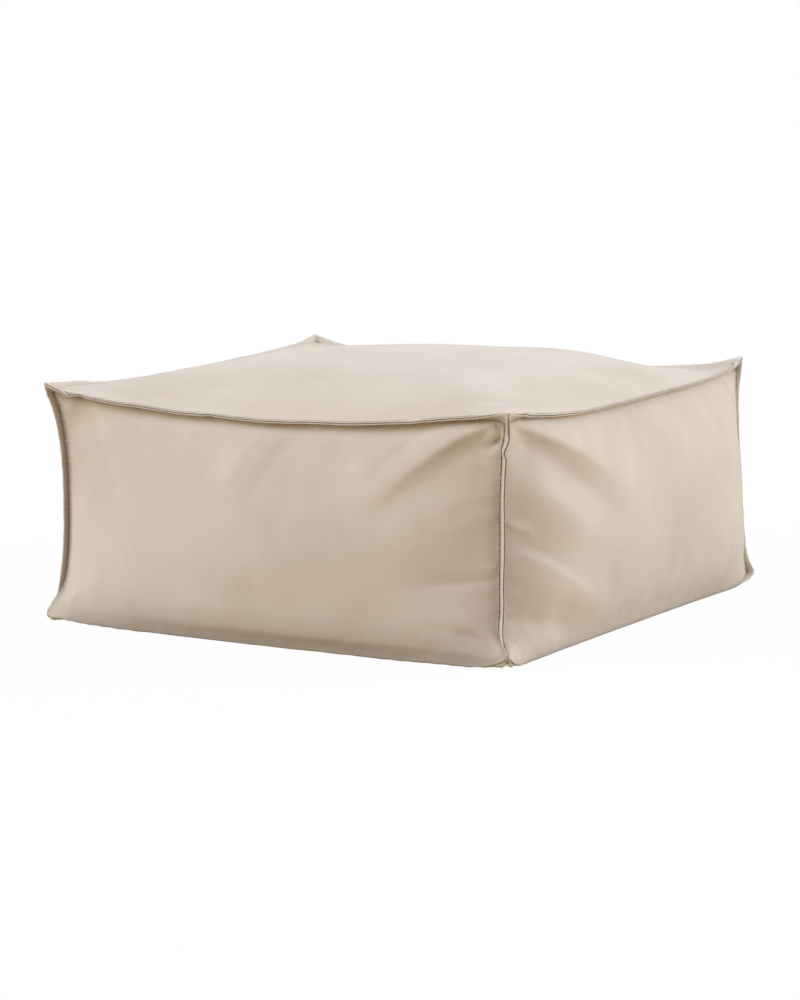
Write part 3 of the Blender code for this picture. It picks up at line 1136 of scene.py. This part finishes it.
    def _crease_height(self, flat: np.ndarray, crease: Crease) -> np.ndarray:
        """How far one crease raises each point of a panel.

        Args:
            flat: The points on the panel's two flat axes.
            crease: The crease.

        Returns:
            One height for each point.
        """
        start, via, end = (np.array(place) for place in (crease.start, crease.via, crease.end))
        height = np.zeros(len(flat))
        margin = CREASE_REACH * max(crease.left, crease.right)
        lowest = np.minimum(np.minimum(start, via), end) - margin
        highest = np.maximum(np.maximum(start, via), end) + margin
        close = np.flatnonzero(((flat > lowest) & (flat < highest)).all(axis=1))
        if not len(close):
            return height
        control = 2 * via - (start + end) / 2  # so that the curve passes through via
        spots = np.linspace(0.0, 1.0, CREASE_PIECES + 1)[:, None]
        path = (1 - spots) ** 2 * start + 2 * spots * (1 - spots) * control + spots**2 * end
        best = np.full(len(close), np.inf)
        along = np.zeros(len(close))
        signed = np.zeros(len(close))
        for number in range(CREASE_PIECES):
            run = path[number + 1] - path[number]
            offset = flat[close] - path[number]
            share = np.clip(offset @ run / (run @ run), 0.0, 1.0)
            gap = offset - share[:, None] * run
            distance = np.hypot(gap[:, 0], gap[:, 1])
            nearer = distance < best
            best[nearer] = distance[nearer]
            along[nearer] = ((number + share) / CREASE_PIECES)[nearer]
            turn = run[0] * offset[:, 1] - run[1] * offset[:, 0]
            signed[nearer] = np.sign(turn)[nearer]
        width = np.where(signed > 0, crease.left, crease.right)
        width = width * (CREASE_START + CREASE_OPENING * along)
        rise = np.sin(math.pi * np.clip(along, 0, 1) ** (math.log(0.5) / math.log(crease.peak)))
        height[close] = crease.height * rise * np.exp(-((best / width) ** 2))
        return height

    def _gather_creases(self, row: Gathers, edge: np.ndarray) -> list[Crease]:
        """The small folds along one seam of a panel.

        Args:
            row: The seam and the sizes of its gathers.
            edge: The points beside the panel's seams, on its two flat axes.

        Returns:
            One crease for each gather.
        """
        other = 1 - row.axis
        low, high = edge[:, row.axis].min(), edge[:, row.axis].max()
        made = []
        place = low + row.spacing
        while place < high - row.spacing:
            near = edge[np.abs(edge[:, row.axis] - place) < GATHER_WINDOW]
            root = (near[:, other] * row.side).max() * row.side
            angle = math.radians(row.lean + random.uniform(-GATHER_TURN, GATHER_TURN))
            length = row.length * random.uniform(*GATHER_LENGTHS)
            size = row.height * random.uniform(*GATHER_HEIGHTS) * random.choice(GATHER_SIDES)
            bow = random.uniform(-GATHER_BOW, GATHER_BOW) * length
            spots = []
            for share in GATHER_SPOTS:
                spot = [0.0, 0.0]
                spot[row.axis] = place + share * length * math.sin(angle) + share * share * bow
                spot[other] = root - row.side * share * length * math.cos(angle)
                spots.append(tuple(spot))
            width = random.uniform(*GATHER_WIDTHS) + GATHER_WIDENING * length
            other_width = width * random.uniform(*GATHER_FLANKS)
            made.append(Crease(*spots, width, other_width, size, GATHER_PEAK))
            place += row.spacing * random.uniform(*GATHER_STEPS)
        return made

    def _lay_to_seams(self) -> None:
        """Lets each panel's cloth climb its lips or sink beside them, and keeps the pouf on the floor."""
        points = points_of(self.piece)
        places = self.places
        aside = np.einsum("ij,ij->i", points - places.root, places.across)
        climb = np.zeros(len(points))
        reach = np.zeros(len(points))
        dip = np.zeros(len(points))
        for fit in self.fits:
            number = self.seams.number_of(fit.first, fit.second)
            line = self.seams.lines[number]
            on_first = (aside > 0) == (line.first is fit.first)
            mine = places.line == number
            climb[mine] = np.where(on_first, fit.first_climb, fit.second_climb)[mine]
            dip[mine] = np.where(on_first, fit.first_dip, fit.second_dip)[mine]
            reach[mine] = fit.reach
            middle = mine & (np.abs(aside) < MILLIMETRE) & (self.seam_distance < MILLIMETRE)
            climb[middle] = min(fit.first_climb, fit.second_climb)
        own = faded(places.from_end, self.corner_reach)
        reach = self.corner_fade + own * (reach - self.corner_fade)
        climb = self.corner_climb + own * (climb - self.corner_climb)
        self.covered = foot_cover(places)
        climb += self.covered * (self.foot_climb - climb)
        reach += self.covered * self.foot_climb
        climbed = climb * np.exp(-self.seam_distance / reach)
        points += climbed[:, None] * places.out
        leaned = (flange_sway(places) + np.sign(aside) * self.lip_cover) * climbed / places.width
        points += leaned[:, None] * places.across
        steps = self.seam_distance / self.dip_reach
        sunk = own * dip * steps * np.exp(1 - steps)
        facing = np.array([panel.normal for panel in Panel] + [np.zeros(3)])[self.point_panel]
        points -= sunk[:, None] * facing
        pulled = self.seams.kinked(places, np.zeros(len(points)), self.kinks)
        points += pulled * np.exp(-self.seam_distance / self.kink_fade)[:, None]
        points[:, 2] = np.maximum(points[:, 2], 0.0)
        set_points(self.piece, points)

    def _unwrap(self) -> None:
        """Lays each panel's canvas flat, in metres, and stores how each point lies to the seams, with the
        painted shade beside them.
        """
        points = points_of(self.piece)
        unwrap_panels(self.piece.data, points, self._face_panels())
        shade_reach = np.zeros(len(points))
        for fit in self.fits:
            shade_reach[self.places.line == self.seams.number_of(fit.first, fit.second)] = fit.shade_reach
        near_seam = np.exp(-self.seam_distance / self.pucker_reach) * (1 - self.covered)
        on_floor = np.array([line.first is Panel.BASE for line in self.seams.lines])[self.places.line]
        near_seam[on_floor] *= self.floor_puckers
        # painted shade: the cloth beside each seam darker where the flange shades it, less on the top, none
        # under the feet
        shade = np.exp(-self.seam_distance / shade_reach) * (1 - self.covered)
        shade[self.point_panel == Panel.TOP.index] *= self.top_shade
        store(self.piece, NEAR_SEAM, near_seam)
        store(self.piece, SEAM_SHADE, shade)
        store(self.piece, SEAM_RUN, self.seams.run_of(self.places))
        store(self.piece, LIP_RISE, np.zeros(len(points)))

    def dress(self, material: bpy.types.Material) -> None:
        """Gives the cover its canvas and its place on the frame.

        Args:
            material: The canvas.
        """
        self.piece.data.materials.append(material)
        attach(self.piece, BODY)
        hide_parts(COVER_NODE)


def unwrap_panels(mesh: bpy.types.Mesh, points: np.ndarray, numbers: np.ndarray) -> None:
    """Makes the canvas UV map: each face's corners on its panel's two flat axes, in metres.

    Args:
        mesh: The mesh to unwrap.
        points: Its points.
        numbers: Each face's panel number; a face without one takes the top panel's axes.
    """
    for old in list(mesh.uv_layers):
        mesh.uv_layers.remove(old)
    layer = mesh.uv_layers.new(name="canvas")
    corners = read_rows(mesh.loops, "vertex_index", 1, np.int64)[:, 0]
    sizes = read_rows(mesh.polygons, "loop_total", 1, np.int64)[:, 0]
    of_corner = np.repeat(numbers, sizes)
    flat = np.zeros((len(corners), 2))
    for panel in Panel:
        mine = (of_corner == panel.index) | ((of_corner < 0) & (panel is Panel.TOP))
        flat[mine] = points[corners[mine]][:, panel.span]
    layer.data.foreach_set("uv", flat.astype(np.float32).ravel())


# The flanges


@dataclass
class FlangeLip:
    """The turned edge of one panel: the lip that it gives to each of its four flanged seams."""

    panel: Panel
    seams: SeamNet
    fits: tuple[SeamFit, ...]
    kinks: tuple[Kink, ...]
    merge: float = 0.00002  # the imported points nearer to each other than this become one
    pair_limit: float = 120.0  # degrees of bend and skew that a pair of triangles may have
    cuts: int = 5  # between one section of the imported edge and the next
    lengthwise: float = 0.8  # an edge runs along its seam where this share of its length does
    tip_gap: float = 0.0003  # how far each lip's inner face opens away from its partner at its outer edge
    inner_reach: float = 0.0014  # a lip's inner face is nearer than this to the middle of the flange
    gap_curve: float = 1.5  # the higher, the nearer to the outer edge it opens
    edge_ripple: float = 0.0007  # how unevenly the outer edge is turned
    edge_length: float = 0.019  # from one such ripple to the next
    edge_seed: float = 3.0  # the first panel's; each panel after it takes the next
    root_shade: float = 0.006  # how far the puckers at a lip's root reach
    outer_shade: float = 0.013  # how far the painted shade on its outer face reaches; the top's lips have none
    foot_tuck: float = 0.75  # how much of the lips a foot's cloth holds back
    turned_width: float = 0.016  # the turned edge with its fold, laid flat
    level_round: float = 3.55  # all round the top or the base panel
    upright_round: float = 2.55  # all round a side panel

    def build(self, nodes: dict[str, bpy.types.Object]) -> bpy.types.Object:
        """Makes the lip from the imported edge.

        Args:
            nodes: The CAD nodes by name.

        Returns:
            The finished piece.
        """
        name = f"{self.panel.name.lower()}_flange_lip"
        packed = nodes[self.panel.edge_node]
        self.piece = quad_copy(packed, name, self.merge, self.pair_limit, self.pair_limit)
        self._cut_along()
        subdivide_smoothly(self.piece)
        self._shape()
        take_up(self.piece)
        bpy.ops.object.shade_smooth()
        return self.piece

    def _cut_along(self) -> None:
        """Cuts the long edges, which run along the seams."""
        mesh = self.piece.data
        lengthwise = self._lengthwise()
        mesh.vertices.foreach_set("select", np.zeros(len(mesh.vertices), bool))
        mesh.polygons.foreach_set("select", np.zeros(len(mesh.polygons), bool))
        mesh.edges.foreach_set("select", lengthwise)
        take_up(self.piece)
        bpy.context.tool_settings.mesh_select_mode = (False, True, False)
        bpy.ops.object.mode_set(mode="EDIT")
        bpy.ops.mesh.subdivide(number_cuts=self.cuts, smoothness=0.0)
        bpy.ops.object.mode_set(mode="OBJECT")

    def _lengthwise(self) -> np.ndarray:
        """Finds the edges that run along the seams.

        Returns:
            For each edge, whether it lies along the panel's outline.
        """
        points = points_of(self.piece)
        start, end = points[edges_of(self.piece)].transpose(1, 0, 2)
        length = np.linalg.norm(end - start, axis=1)
        run = np.abs(end - start) / np.maximum(length, 1e-9)[:, None]
        first, second = self.panel.span
        centre = (points.max(axis=0) + points.min(axis=0)) / 2
        reach = (points.max(axis=0) - points.min(axis=0)) / 2
        closeness = np.abs((start + end) / 2 - centre) / reach
        along_first = closeness[:, second] > closeness[:, first]
        return np.where(along_first, run[:, first], run[:, second]) > self.lengthwise

    def _shape(self) -> None:
        """Opens the lip at its outer edge and lets the flange sway and ripple as sewn canvas does."""
        points = points_of(self.piece)
        places = self.seams.near(points, self.panel)
        sides = [1.0 if line.first is self.panel else -1.0 for line in self.seams.lines]
        side = np.array(sides)[places.line]
        aside = side * np.einsum("ij,ij->i", points - places.root, places.across)
        share = np.clip(places.distance / places.width, 0.0, 1.0)
        steady = faded(places.from_end, CORNER_HOLD)
        opened = self.tip_gap * side * share**self.gap_curve * (aside < self.inner_reach)
        points += (opened + flange_sway(places) * share)[:, None] * places.across
        seed = self.edge_seed + self.panel.index
        uneven = self.edge_ripple * noise_at(places.root, self.edge_length, seed)
        reached = (uneven - self._tuck(places)) * steady * share
        reached -= self.foot_tuck * foot_cover(places) * places.distance
        points += reached[:, None] * places.out
        points += self.seams.kinked(places, share, self.kinks)
        points[:, 2] = np.maximum(points[:, 2], 0.0)
        set_points(self.piece, points)
        store(self.piece, LIP_RISE, share)
        store(self.piece, NEAR_SEAM, np.exp(-places.distance / self.root_shade))
        # painted shade on the lip's outer face, darkest at its root, where the flange shades itself
        shade = np.exp(-places.distance / self.outer_shade) * (self.panel is not Panel.TOP)
        store(self.piece, SEAM_SHADE, shade)
        store(self.piece, SEAM_RUN, self.seams.run_of(places))
        unwrap_panels(self.piece.data, points, np.full(len(self.piece.data.polygons), self.panel.index))

    def _tuck(self, places: SeamPlaces) -> np.ndarray:
        """How far this panel's lip is drawn back.

        Args:
            places: Where the points are on the seams.

        Returns:
            One distance for each point.
        """
        tucked = np.zeros(len(places.line))
        for fit in self.fits:
            if self.panel in (fit.first, fit.second):
                tuck = fit.first_tuck if fit.first is self.panel else fit.second_tuck
                tucked[places.line == self.seams.number_of(fit.first, fit.second)] = tuck
        return tucked

    def dress(self, material: bpy.types.Material) -> None:
        """Gives the lip its canvas and its place on the frame.

        Args:
            material: The canvas.
        """
        length = self.level_round if self.panel.axis == 2 else self.upright_round
        self.piece.data.materials.append(material)
        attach(self.piece, BODY)
        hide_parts(self.panel.edge_node)


# The studio


def direction(azimuth: float, elevation: float) -> Vector:
    """The way from the pouf toward a place round it and above it.

    Args:
        azimuth: Degrees from straight in front toward the right.
        elevation: Degrees above the floor.

    Returns:
        A vector one metre long.
    """
    around, above = math.radians(azimuth), math.radians(elevation)
    level = math.cos(above)
    return Vector((math.sin(around) * level, -math.cos(around) * level, math.sin(above)))


class SunLamp(NamedTuple):
    """One wide soft light: where it stands, in degrees, and its strength by colour.

    A strength of 1 lights white paper that faces the lamp to full white.
    """

    name: str
    azimuth: float  # from straight in front toward the right
    elevation: float
    strength: tuple[float, float, float]


@dataclass
class Studio:
    """A pale floor, plain soft light and the camera."""

    lamps: tuple[SunLamp, ...]
    azimuth: float = 28.9  # degrees round the pouf from straight in front
    elevation: float = 9.0
    distance: float = 5.85
    aim_height: float = 0.207
    yaw_offset: float = 0.02  # degrees that the view is turned off the pouf's middle
    pitch_offset: float = 0.265
    lens: float = 119.34  # millimetres, as the sensor is
    sensor: float = 36.0
    lamp_spread: float = 50.0  # degrees that each lamp fills in the sky
    lamp_distance: float = 3.0  # it changes nothing in a sun lamp's light
    floor_size: float = 240.0
    floor_drop: float = 0.0006  # how far below the pouf's lowest points the floor lies
    floor_tone: tuple[float, float, float] = (0.90, 0.90, 0.90)
    floor_bounce: tuple[float, float, float] = (0.50, 0.38, 0.24)  # the floor as the pouf sees it
    floor_glow: float = 0.97  # how much of the floor that the camera sees is even white

    def build(self) -> None:
        """Makes the camera, the floor and the lamps."""
        self._add_camera()
        self._add_floor()
        for lamp in self.lamps:
            self._add_lamp(lamp)
        scene = bpy.context.scene
        scene.world = bpy.data.worlds.new("dark_studio")
        scene.world.use_nodes = True
        scene.world.node_tree.nodes["Background"].inputs["Strength"].default_value = 0.0
        scene.view_settings.view_transform = "Standard"

    def _add_camera(self) -> None:
        """The camera at the photograph's viewing angle."""
        back = self.distance * direction(self.azimuth, self.elevation)
        place = Vector((0.0, 0.0, self.aim_height)) + back
        turn = (
            math.radians(90 - self.elevation - self.pitch_offset),
            0.0,
            math.radians(self.azimuth + self.yaw_offset),
        )
        deselect_all()
        bpy.ops.object.camera_add(location=place, rotation=turn)
        camera = bpy.context.object
        camera.data.lens = self.lens
        camera.data.sensor_width = self.sensor
        camera.data.sensor_fit = "AUTO"
        bpy.context.scene.camera = camera

    def _add_lamp(self, lamp: SunLamp) -> None:
        """Hangs one lamp and turns it to the pouf.

        Args:
            lamp: The lamp.
        """
        toward = direction(lamp.azimuth, lamp.elevation)
        deselect_all()
        bpy.ops.object.light_add(type="SUN", location=self.lamp_distance * toward)
        light = bpy.context.object
        light.name = lamp.name
        light.rotation_euler = toward.to_track_quat("Z", "Y").to_euler()
        brightest = max(lamp.strength)
        light.data.energy = math.pi * brightest
        light.data.color = tuple(part / brightest for part in lamp.strength)
        light.data.angle = math.radians(self.lamp_spread)

    def _add_floor(self) -> None:
        """A wide floor just under the pouf: near white to the camera, darker to the pouf itself."""
        deselect_all()
        bpy.ops.mesh.primitive_plane_add(size=self.floor_size, location=(0.0, 0.0, -self.floor_drop))
        floor = bpy.context.object
        floor.name = "pale_floor"
        material = bpy.data.materials.new("pale_floor")
        material.use_nodes = True
        graph = Graph(material.node_tree)
        plain = material.node_tree.nodes["Principled BSDF"]
        plain.inputs["Base Color"].default_value = (*self.floor_tone, 1.0)
        plain.inputs["Roughness"].default_value = 1.0
        plain.inputs["Specular IOR Level"].default_value = 0.0
        glow = graph.add("Emission", {"Color": (1.0, 1.0, 1.0, 1.0), "Strength": 1.0})
        shown = {0: self.floor_glow, 1: plain.outputs["BSDF"], 2: glow.outputs["Emission"]}
        seen = graph.add("MixShader", shown)
        bounce = graph.add("BsdfDiffuse", {"Color": (*self.floor_bounce, 1.0)})
        path = graph.add("LightPath")
        choice = {0: path.outputs["Is Camera Ray"], 1: bounce.outputs["BSDF"], 2: seen.outputs[0]}
        both = graph.add("MixShader", choice)
        graph.feed(material.node_tree.nodes["Material Output"].inputs["Surface"], both.outputs[0])
        graph.place()
        floor.data.materials.append(material)


STUDIO_LAMPS = (
    SunLamp("low_left", -90, 12, (0.041, 0.014, 0.137)),
    SunLamp("low_front_left", -45, 12, (0.370, 0.330, 0.140)),
    SunLamp("high_front_left", -45, 32, (0.660, 0.780, 0.940)),
    SunLamp("overhead_front", 0, 58, (0.110, 0.068, 0.126)),
    SunLamp("low_right", 90, 12, (0.404, 0.398, 0.340)),
    SunLamp("low_back_right", 135, 12, (0.660, 0.635, 0.690)),
    SunLamp("high_back_right", 135, 32, (0.235, 0.365, 0.500)),
    SunLamp("overhead_back", 180, 58, (0.265, 0.185, 0.022)),
)

FRONT_CREASES = (
    Crease((0.432, 0.400), (0.326, 0.357), (0.180, 0.230), 0.011, 0.030, 0.0052, 0.35),
    Crease((0.432, 0.380), (0.322, 0.320), (0.200, 0.215), 0.018, 0.020, -0.0036, 0.35),
    Crease((0.410, 0.404), (0.421, 0.391), (0.430, 0.377), 0.004, 0.005, -0.0050, 0.50),
    Crease((0.433, 0.379), (0.417, 0.365), (0.392, 0.350), 0.005, 0.006, -0.0060, 0.35),
    Crease((0.250, 0.360), (0.190, 0.310), (0.120, 0.235), 0.014, 0.020, 0.0014, 0.40),
    Crease((0.000, 0.374), (-0.050, 0.294), (-0.078, 0.230), 0.010, 0.014, 0.0013, 0.35),
    Crease((0.060, 0.368), (0.006, 0.290), (-0.030, 0.235), 0.013, 0.015, -0.0013, 0.35),
    Crease((-0.385, 0.392), (-0.317, 0.272), (-0.280, 0.180), 0.016, 0.018, -0.0018, 0.40),
    Crease((-0.350, 0.380), (-0.285, 0.285), (-0.245, 0.200), 0.016, 0.020, 0.0012, 0.40),
    Crease((0.425, 0.031), (0.050, 0.036), (-0.372, 0.034), 0.013, 0.040, 0.0068, 0.50),
    Crease((0.392, 0.004), (0.391, 0.012), (0.388, 0.024), 0.003, 0.003, -0.0035, 0.35),
    Crease((0.438, 0.037), (0.395, 0.031), (0.310, 0.030), 0.007, 0.006, 0.0032, 0.30),
    Crease((0.432, 0.046), (0.385, 0.066), (0.325, 0.086), 0.018, 0.008, 0.0036, 0.50),
    Crease((0.425, 0.040), (0.370, 0.052), (0.295, 0.066), 0.009, 0.009, -0.0026, 0.50),
    Crease((0.432, 0.146), (0.345, 0.134), (0.255, 0.126), 0.010, 0.010, -0.0018, 0.45),
    Crease((0.432, 0.166), (0.350, 0.158), (0.280, 0.152), 0.012, 0.012, 0.0012, 0.40),
    Crease((0.432, 0.250), (0.365, 0.232), (0.300, 0.205), 0.014, 0.014, 0.0010, 0.40),
)

RIGHT_CREASES = (
    Crease((-0.434, 0.402), (-0.273, 0.341), (-0.120, 0.268), 0.032, 0.011, 0.0052, 0.32),
    Crease((-0.434, 0.384), (-0.278, 0.304), (-0.115, 0.205), 0.020, 0.015, -0.0036, 0.45),
    Crease((-0.380, 0.290), (-0.285, 0.237), (-0.190, 0.180), 0.016, 0.016, 0.0008, 0.45),
    Crease((-0.434, 0.236), (-0.400, 0.226), (-0.360, 0.205), 0.008, 0.006, 0.0026, 0.35),
    Crease((-0.430, 0.214), (-0.350, 0.174), (-0.190, 0.083), 0.010, 0.010, -0.0014, 0.50),
    Crease((-0.404, 0.190), (-0.306, 0.139), (-0.168, 0.056), 0.013, 0.013, 0.0015, 0.45),
    Crease((-0.432, 0.084), (-0.360, 0.067), (-0.255, 0.036), 0.012, 0.012, -0.0018, 0.40),
    Crease((-0.020, 0.376), (0.080, 0.322), (0.195, 0.265), 0.026, 0.030, 0.0014, 0.40),
    Crease((0.430, 0.390), (0.360, 0.350), (0.280, 0.300), 0.016, 0.016, 0.0018, 0.35),
)

BACK_CREASES = (
    Crease((-0.432, 0.396), (-0.310, 0.344), (-0.170, 0.255), 0.024, 0.014, 0.0034, 0.35),
    Crease((0.440, 0.398), (0.330, 0.352), (0.200, 0.270), 0.014, 0.024, 0.0034, 0.35),
    Crease((0.090, 0.372), (0.030, 0.300), (-0.010, 0.225), 0.016, 0.016, 0.0018, 0.35),
    Crease((-0.430, 0.040), (-0.370, 0.066), (-0.300, 0.085), 0.014, 0.014, 0.0026, 0.45),
)

LEFT_CREASES = (
    Crease((-0.432, 0.396), (-0.310, 0.340), (-0.180, 0.250), 0.024, 0.014, 0.0034, 0.35),
    Crease((0.432, 0.392), (0.320, 0.336), (0.190, 0.245), 0.014, 0.024, 0.0034, 0.35),
    Crease((-0.060, 0.374), (-0.020, 0.300), (0.030, 0.230), 0.016, 0.016, -0.0018, 0.35),
    Crease((0.430, 0.040), (0.370, 0.066), (0.290, 0.084), 0.014, 0.014, 0.0026, 0.45),
)

SWELLINGS = {
    Panel.TOP: (Swelling((0.215, 0.250), 0.110, 0.0100), Swelling((0.010, 0.250), 0.090, -0.0030)),
    Panel.FRONT: (Swelling((-0.020, 0.135), 0.150, 0.0080),),
}

def plain_gathers(panel: Panel, lean: float) -> tuple[Gathers, ...]:
    """The gathers of a panel at the back or on the left.

    Args:
        panel: The panel.
        lean: Degrees that the folds below its top seam lean.

    Returns:
        One row for each of its four seams.
    """
    return (
        Gathers(panel, 0, 1, 0.034, 0.070, 0.0013, lean),
        Gathers(panel, 0, -1, 0.038, 0.040, 0.0010, 0),
        Gathers(panel, 1, 1, 0.032, 0.050, 0.0010, 0),
        Gathers(panel, 1, -1, 0.032, 0.050, 0.0010, 0),
    )


SEAM_GATHERS = (
    Gathers(Panel.FRONT, 0, 1, 0.036, 0.080, 0.0014, -32),
    Gathers(Panel.FRONT, 0, -1, 0.034, 0.030, 0.0007, 8),
    Gathers(Panel.FRONT, 1, 1, 0.030, 0.050, 0.0010, 0),
    Gathers(Panel.FRONT, 1, -1, 0.036, 0.050, 0.0008, 0),
    Gathers(Panel.RIGHT, 0, 1, 0.024, 0.030, 0.0010, 24),
    Gathers(Panel.RIGHT, 0, -1, 0.036, 0.030, 0.0008, 0),
    Gathers(Panel.RIGHT, 1, -1, 0.026, 0.040, 0.0010, -15),
    Gathers(Panel.RIGHT, 1, 1, 0.030, 0.050, 0.0008, 0),
    *plain_gathers(Panel.BACK, 18),
    *plain_gathers(Panel.LEFT, -20),
)

SEAM_FITS = (  # the two climbs, their reach, the two dips, the two tucks and the painted shade's reach
    SeamFit(Panel.TOP, Panel.FRONT, 0.0115, 0.0010, 0.012, 0.0000, 0.0050, 0.0000, 0.0008, 0.005),
    SeamFit(Panel.TOP, Panel.RIGHT, 0.0120, 0.0010, 0.012, 0.0000, 0.0040, 0.0000, 0.0030, 0.004),
    SeamFit(Panel.TOP, Panel.BACK, 0.0080, 0.0015, 0.010, 0.0000, 0.0030, 0.0000, 0.0000, 0.004),
    SeamFit(Panel.TOP, Panel.LEFT, 0.0080, 0.0015, 0.010, 0.0000, 0.0030, 0.0000, 0.0000, 0.004),
    SeamFit(Panel.BASE, Panel.FRONT, 0.0070, 0.0150, 0.012, 0.0000, 0.0000, 0.0030, 0.0030, 0.024),
    SeamFit(Panel.BASE, Panel.RIGHT, 0.0070, 0.0140, 0.012, 0.0000, 0.0000, 0.0015, 0.0015, 0.004),
    SeamFit(Panel.BASE, Panel.BACK, 0.0040, 0.0080, 0.010, 0.0000, 0.0000, 0.0000, 0.0000, 0.004),
    SeamFit(Panel.BASE, Panel.LEFT, 0.0040, 0.0080, 0.010, 0.0000, 0.0000, 0.0000, 0.0000, 0.004),
    SeamFit(Panel.LEFT, Panel.FRONT, 0.0020, 0.0015, 0.005, 0.0000, 0.0015, 0.0000, 0.0000, 0.003),
    SeamFit(Panel.RIGHT, Panel.FRONT, 0.0030, 0.0005, 0.006, 0.0000, 0.0012, 0.0000, 0.0000, 0.008),
    SeamFit(Panel.RIGHT, Panel.BACK, 0.0020, 0.0020, 0.005, 0.0010, 0.0010, 0.0000, 0.0000, 0.003),
    SeamFit(Panel.LEFT, Panel.BACK, 0.0020, 0.0020, 0.005, 0.0010, 0.0010, 0.0000, 0.0000, 0.003),
)

FRONT_RIGHT_FOOT = (
    (Panel.RIGHT, Panel.FRONT, 0.029),
    (Panel.BASE, Panel.FRONT, 0.433),
    (Panel.BASE, Panel.RIGHT, -0.438),
)

FRONT_LEFT_FOOT = (
    (Panel.LEFT, Panel.FRONT, 0.012),
    (Panel.BASE, Panel.FRONT, -0.445),
    (Panel.BASE, Panel.LEFT, -0.445),
)


def corner_kinks(places: Iterable[tuple[Panel, Panel, float]], reach: float,
                 shift: tuple[float, float, float], root: float) -> tuple[Kink, ...]:
    """The same kink on each of the three seams that meet at a corner.

    Args:
        places: Each seam's two panels and the kink's place on it.
        reach: The kink's reach.
        shift: How far it is pushed aside.
        root: How much of that the seam itself takes.

    Returns:
        The three kinks.
    """
    return tuple(Kink(first, second, place, reach, shift, root) for first, second, place in places)


FLANGE_KINKS = (
    Kink(Panel.RIGHT, Panel.FRONT, 0.380, 0.011, (0.0016, 0.0010, 0.0), 0.3),
    Kink(Panel.RIGHT, Panel.FRONT, 0.356, 0.009, (-0.0036, -0.0020, 0.0), 0.3),
    Kink(Panel.RIGHT, Panel.FRONT, 0.064, 0.020, (-0.0034, -0.0020, 0.0), 0.8),
    *corner_kinks(FRONT_RIGHT_FOOT, 0.036, (0.0, 0.0, -0.012), 0.9),
    *corner_kinks(FRONT_RIGHT_FOOT, 0.014, (0.0, 0.0, -0.003), 0.0),
    *corner_kinks(FRONT_LEFT_FOOT, 0.030, (-0.0030, -0.0016, -0.004), 1.0),
    Kink(Panel.LEFT, Panel.FRONT, 0.397, 0.014, (-0.0030, -0.0016, 0.0), 0.3),
    Kink(Panel.TOP, Panel.LEFT, -0.437, 0.016, (-0.0036, -0.0020, 0.0), 0.3),
    Kink(Panel.TOP, Panel.FRONT, -0.436, 0.016, (-0.0036, -0.0020, 0.0), 0.3),
    Kink(Panel.TOP, Panel.LEFT, -0.360, 0.055, (0.0, 0.0, 0.0050), 0.2),
    Kink(Panel.TOP, Panel.FRONT, -0.402, 0.014, (0.0, 0.0, -0.0040), 0.6),
    Kink(Panel.TOP, Panel.FRONT, -0.374, 0.008, (0.0, 0.0, 0.0026), 0.3),
    Kink(Panel.TOP, Panel.FRONT, -0.112, 0.007, (0.0, 0.0, 0.0020), 0.1),
    Kink(Panel.TOP, Panel.RIGHT, -0.408, 0.010, (0.0020, 0.0, 0.0030), 0.3),
)


def main() -> None:
    """Builds the studio, the cover and the flanges in order, and reports each piece."""
    logging.basicConfig(level=logging.INFO, format="%(name)s: %(message)s")
    for leftover in list(bpy.data.objects):
        bpy.data.objects.remove(leftover)
    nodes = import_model()["nodes"]
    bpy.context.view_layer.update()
    Studio(STUDIO_LAMPS).build()
    groups = {
        "weave": weave_group(),
        "slubs": slub_group(),
        "handling": handling_group(),
        "puckers": pucker_group(),
    }
    seams = SeamNet(nodes)
    creases = {
        Panel.FRONT: FRONT_CREASES,
        Panel.RIGHT: RIGHT_CREASES,
        Panel.BACK: BACK_CREASES,
        Panel.LEFT: LEFT_CREASES,
    }
    cover = FilledCover(seams, creases, SWELLINGS, SEAM_GATHERS, SEAM_FITS, FLANGE_KINKS)
    pieces = [(cover, CanvasFinish("canvas_cover").material(groups))]
    # the lips: stronger painted shade, and a painted highlight on their worn outer edges
    lip_canvas = CanvasFinish("canvas_lip", seam_shade_strength=0.75, wear_and_highlight_strength=0.7).material(groups)
    pieces += [(FlangeLip(panel, seams, SEAM_FITS, FLANGE_KINKS), lip_canvas) for panel in Panel]
    for maker, canvas in pieces:
        piece = maker.build(nodes)
        maker.dress(canvas)
        LOG.info("%s: %d faces", piece.name, len(piece.data.polygons))


if __name__ == "__main__":
    main()
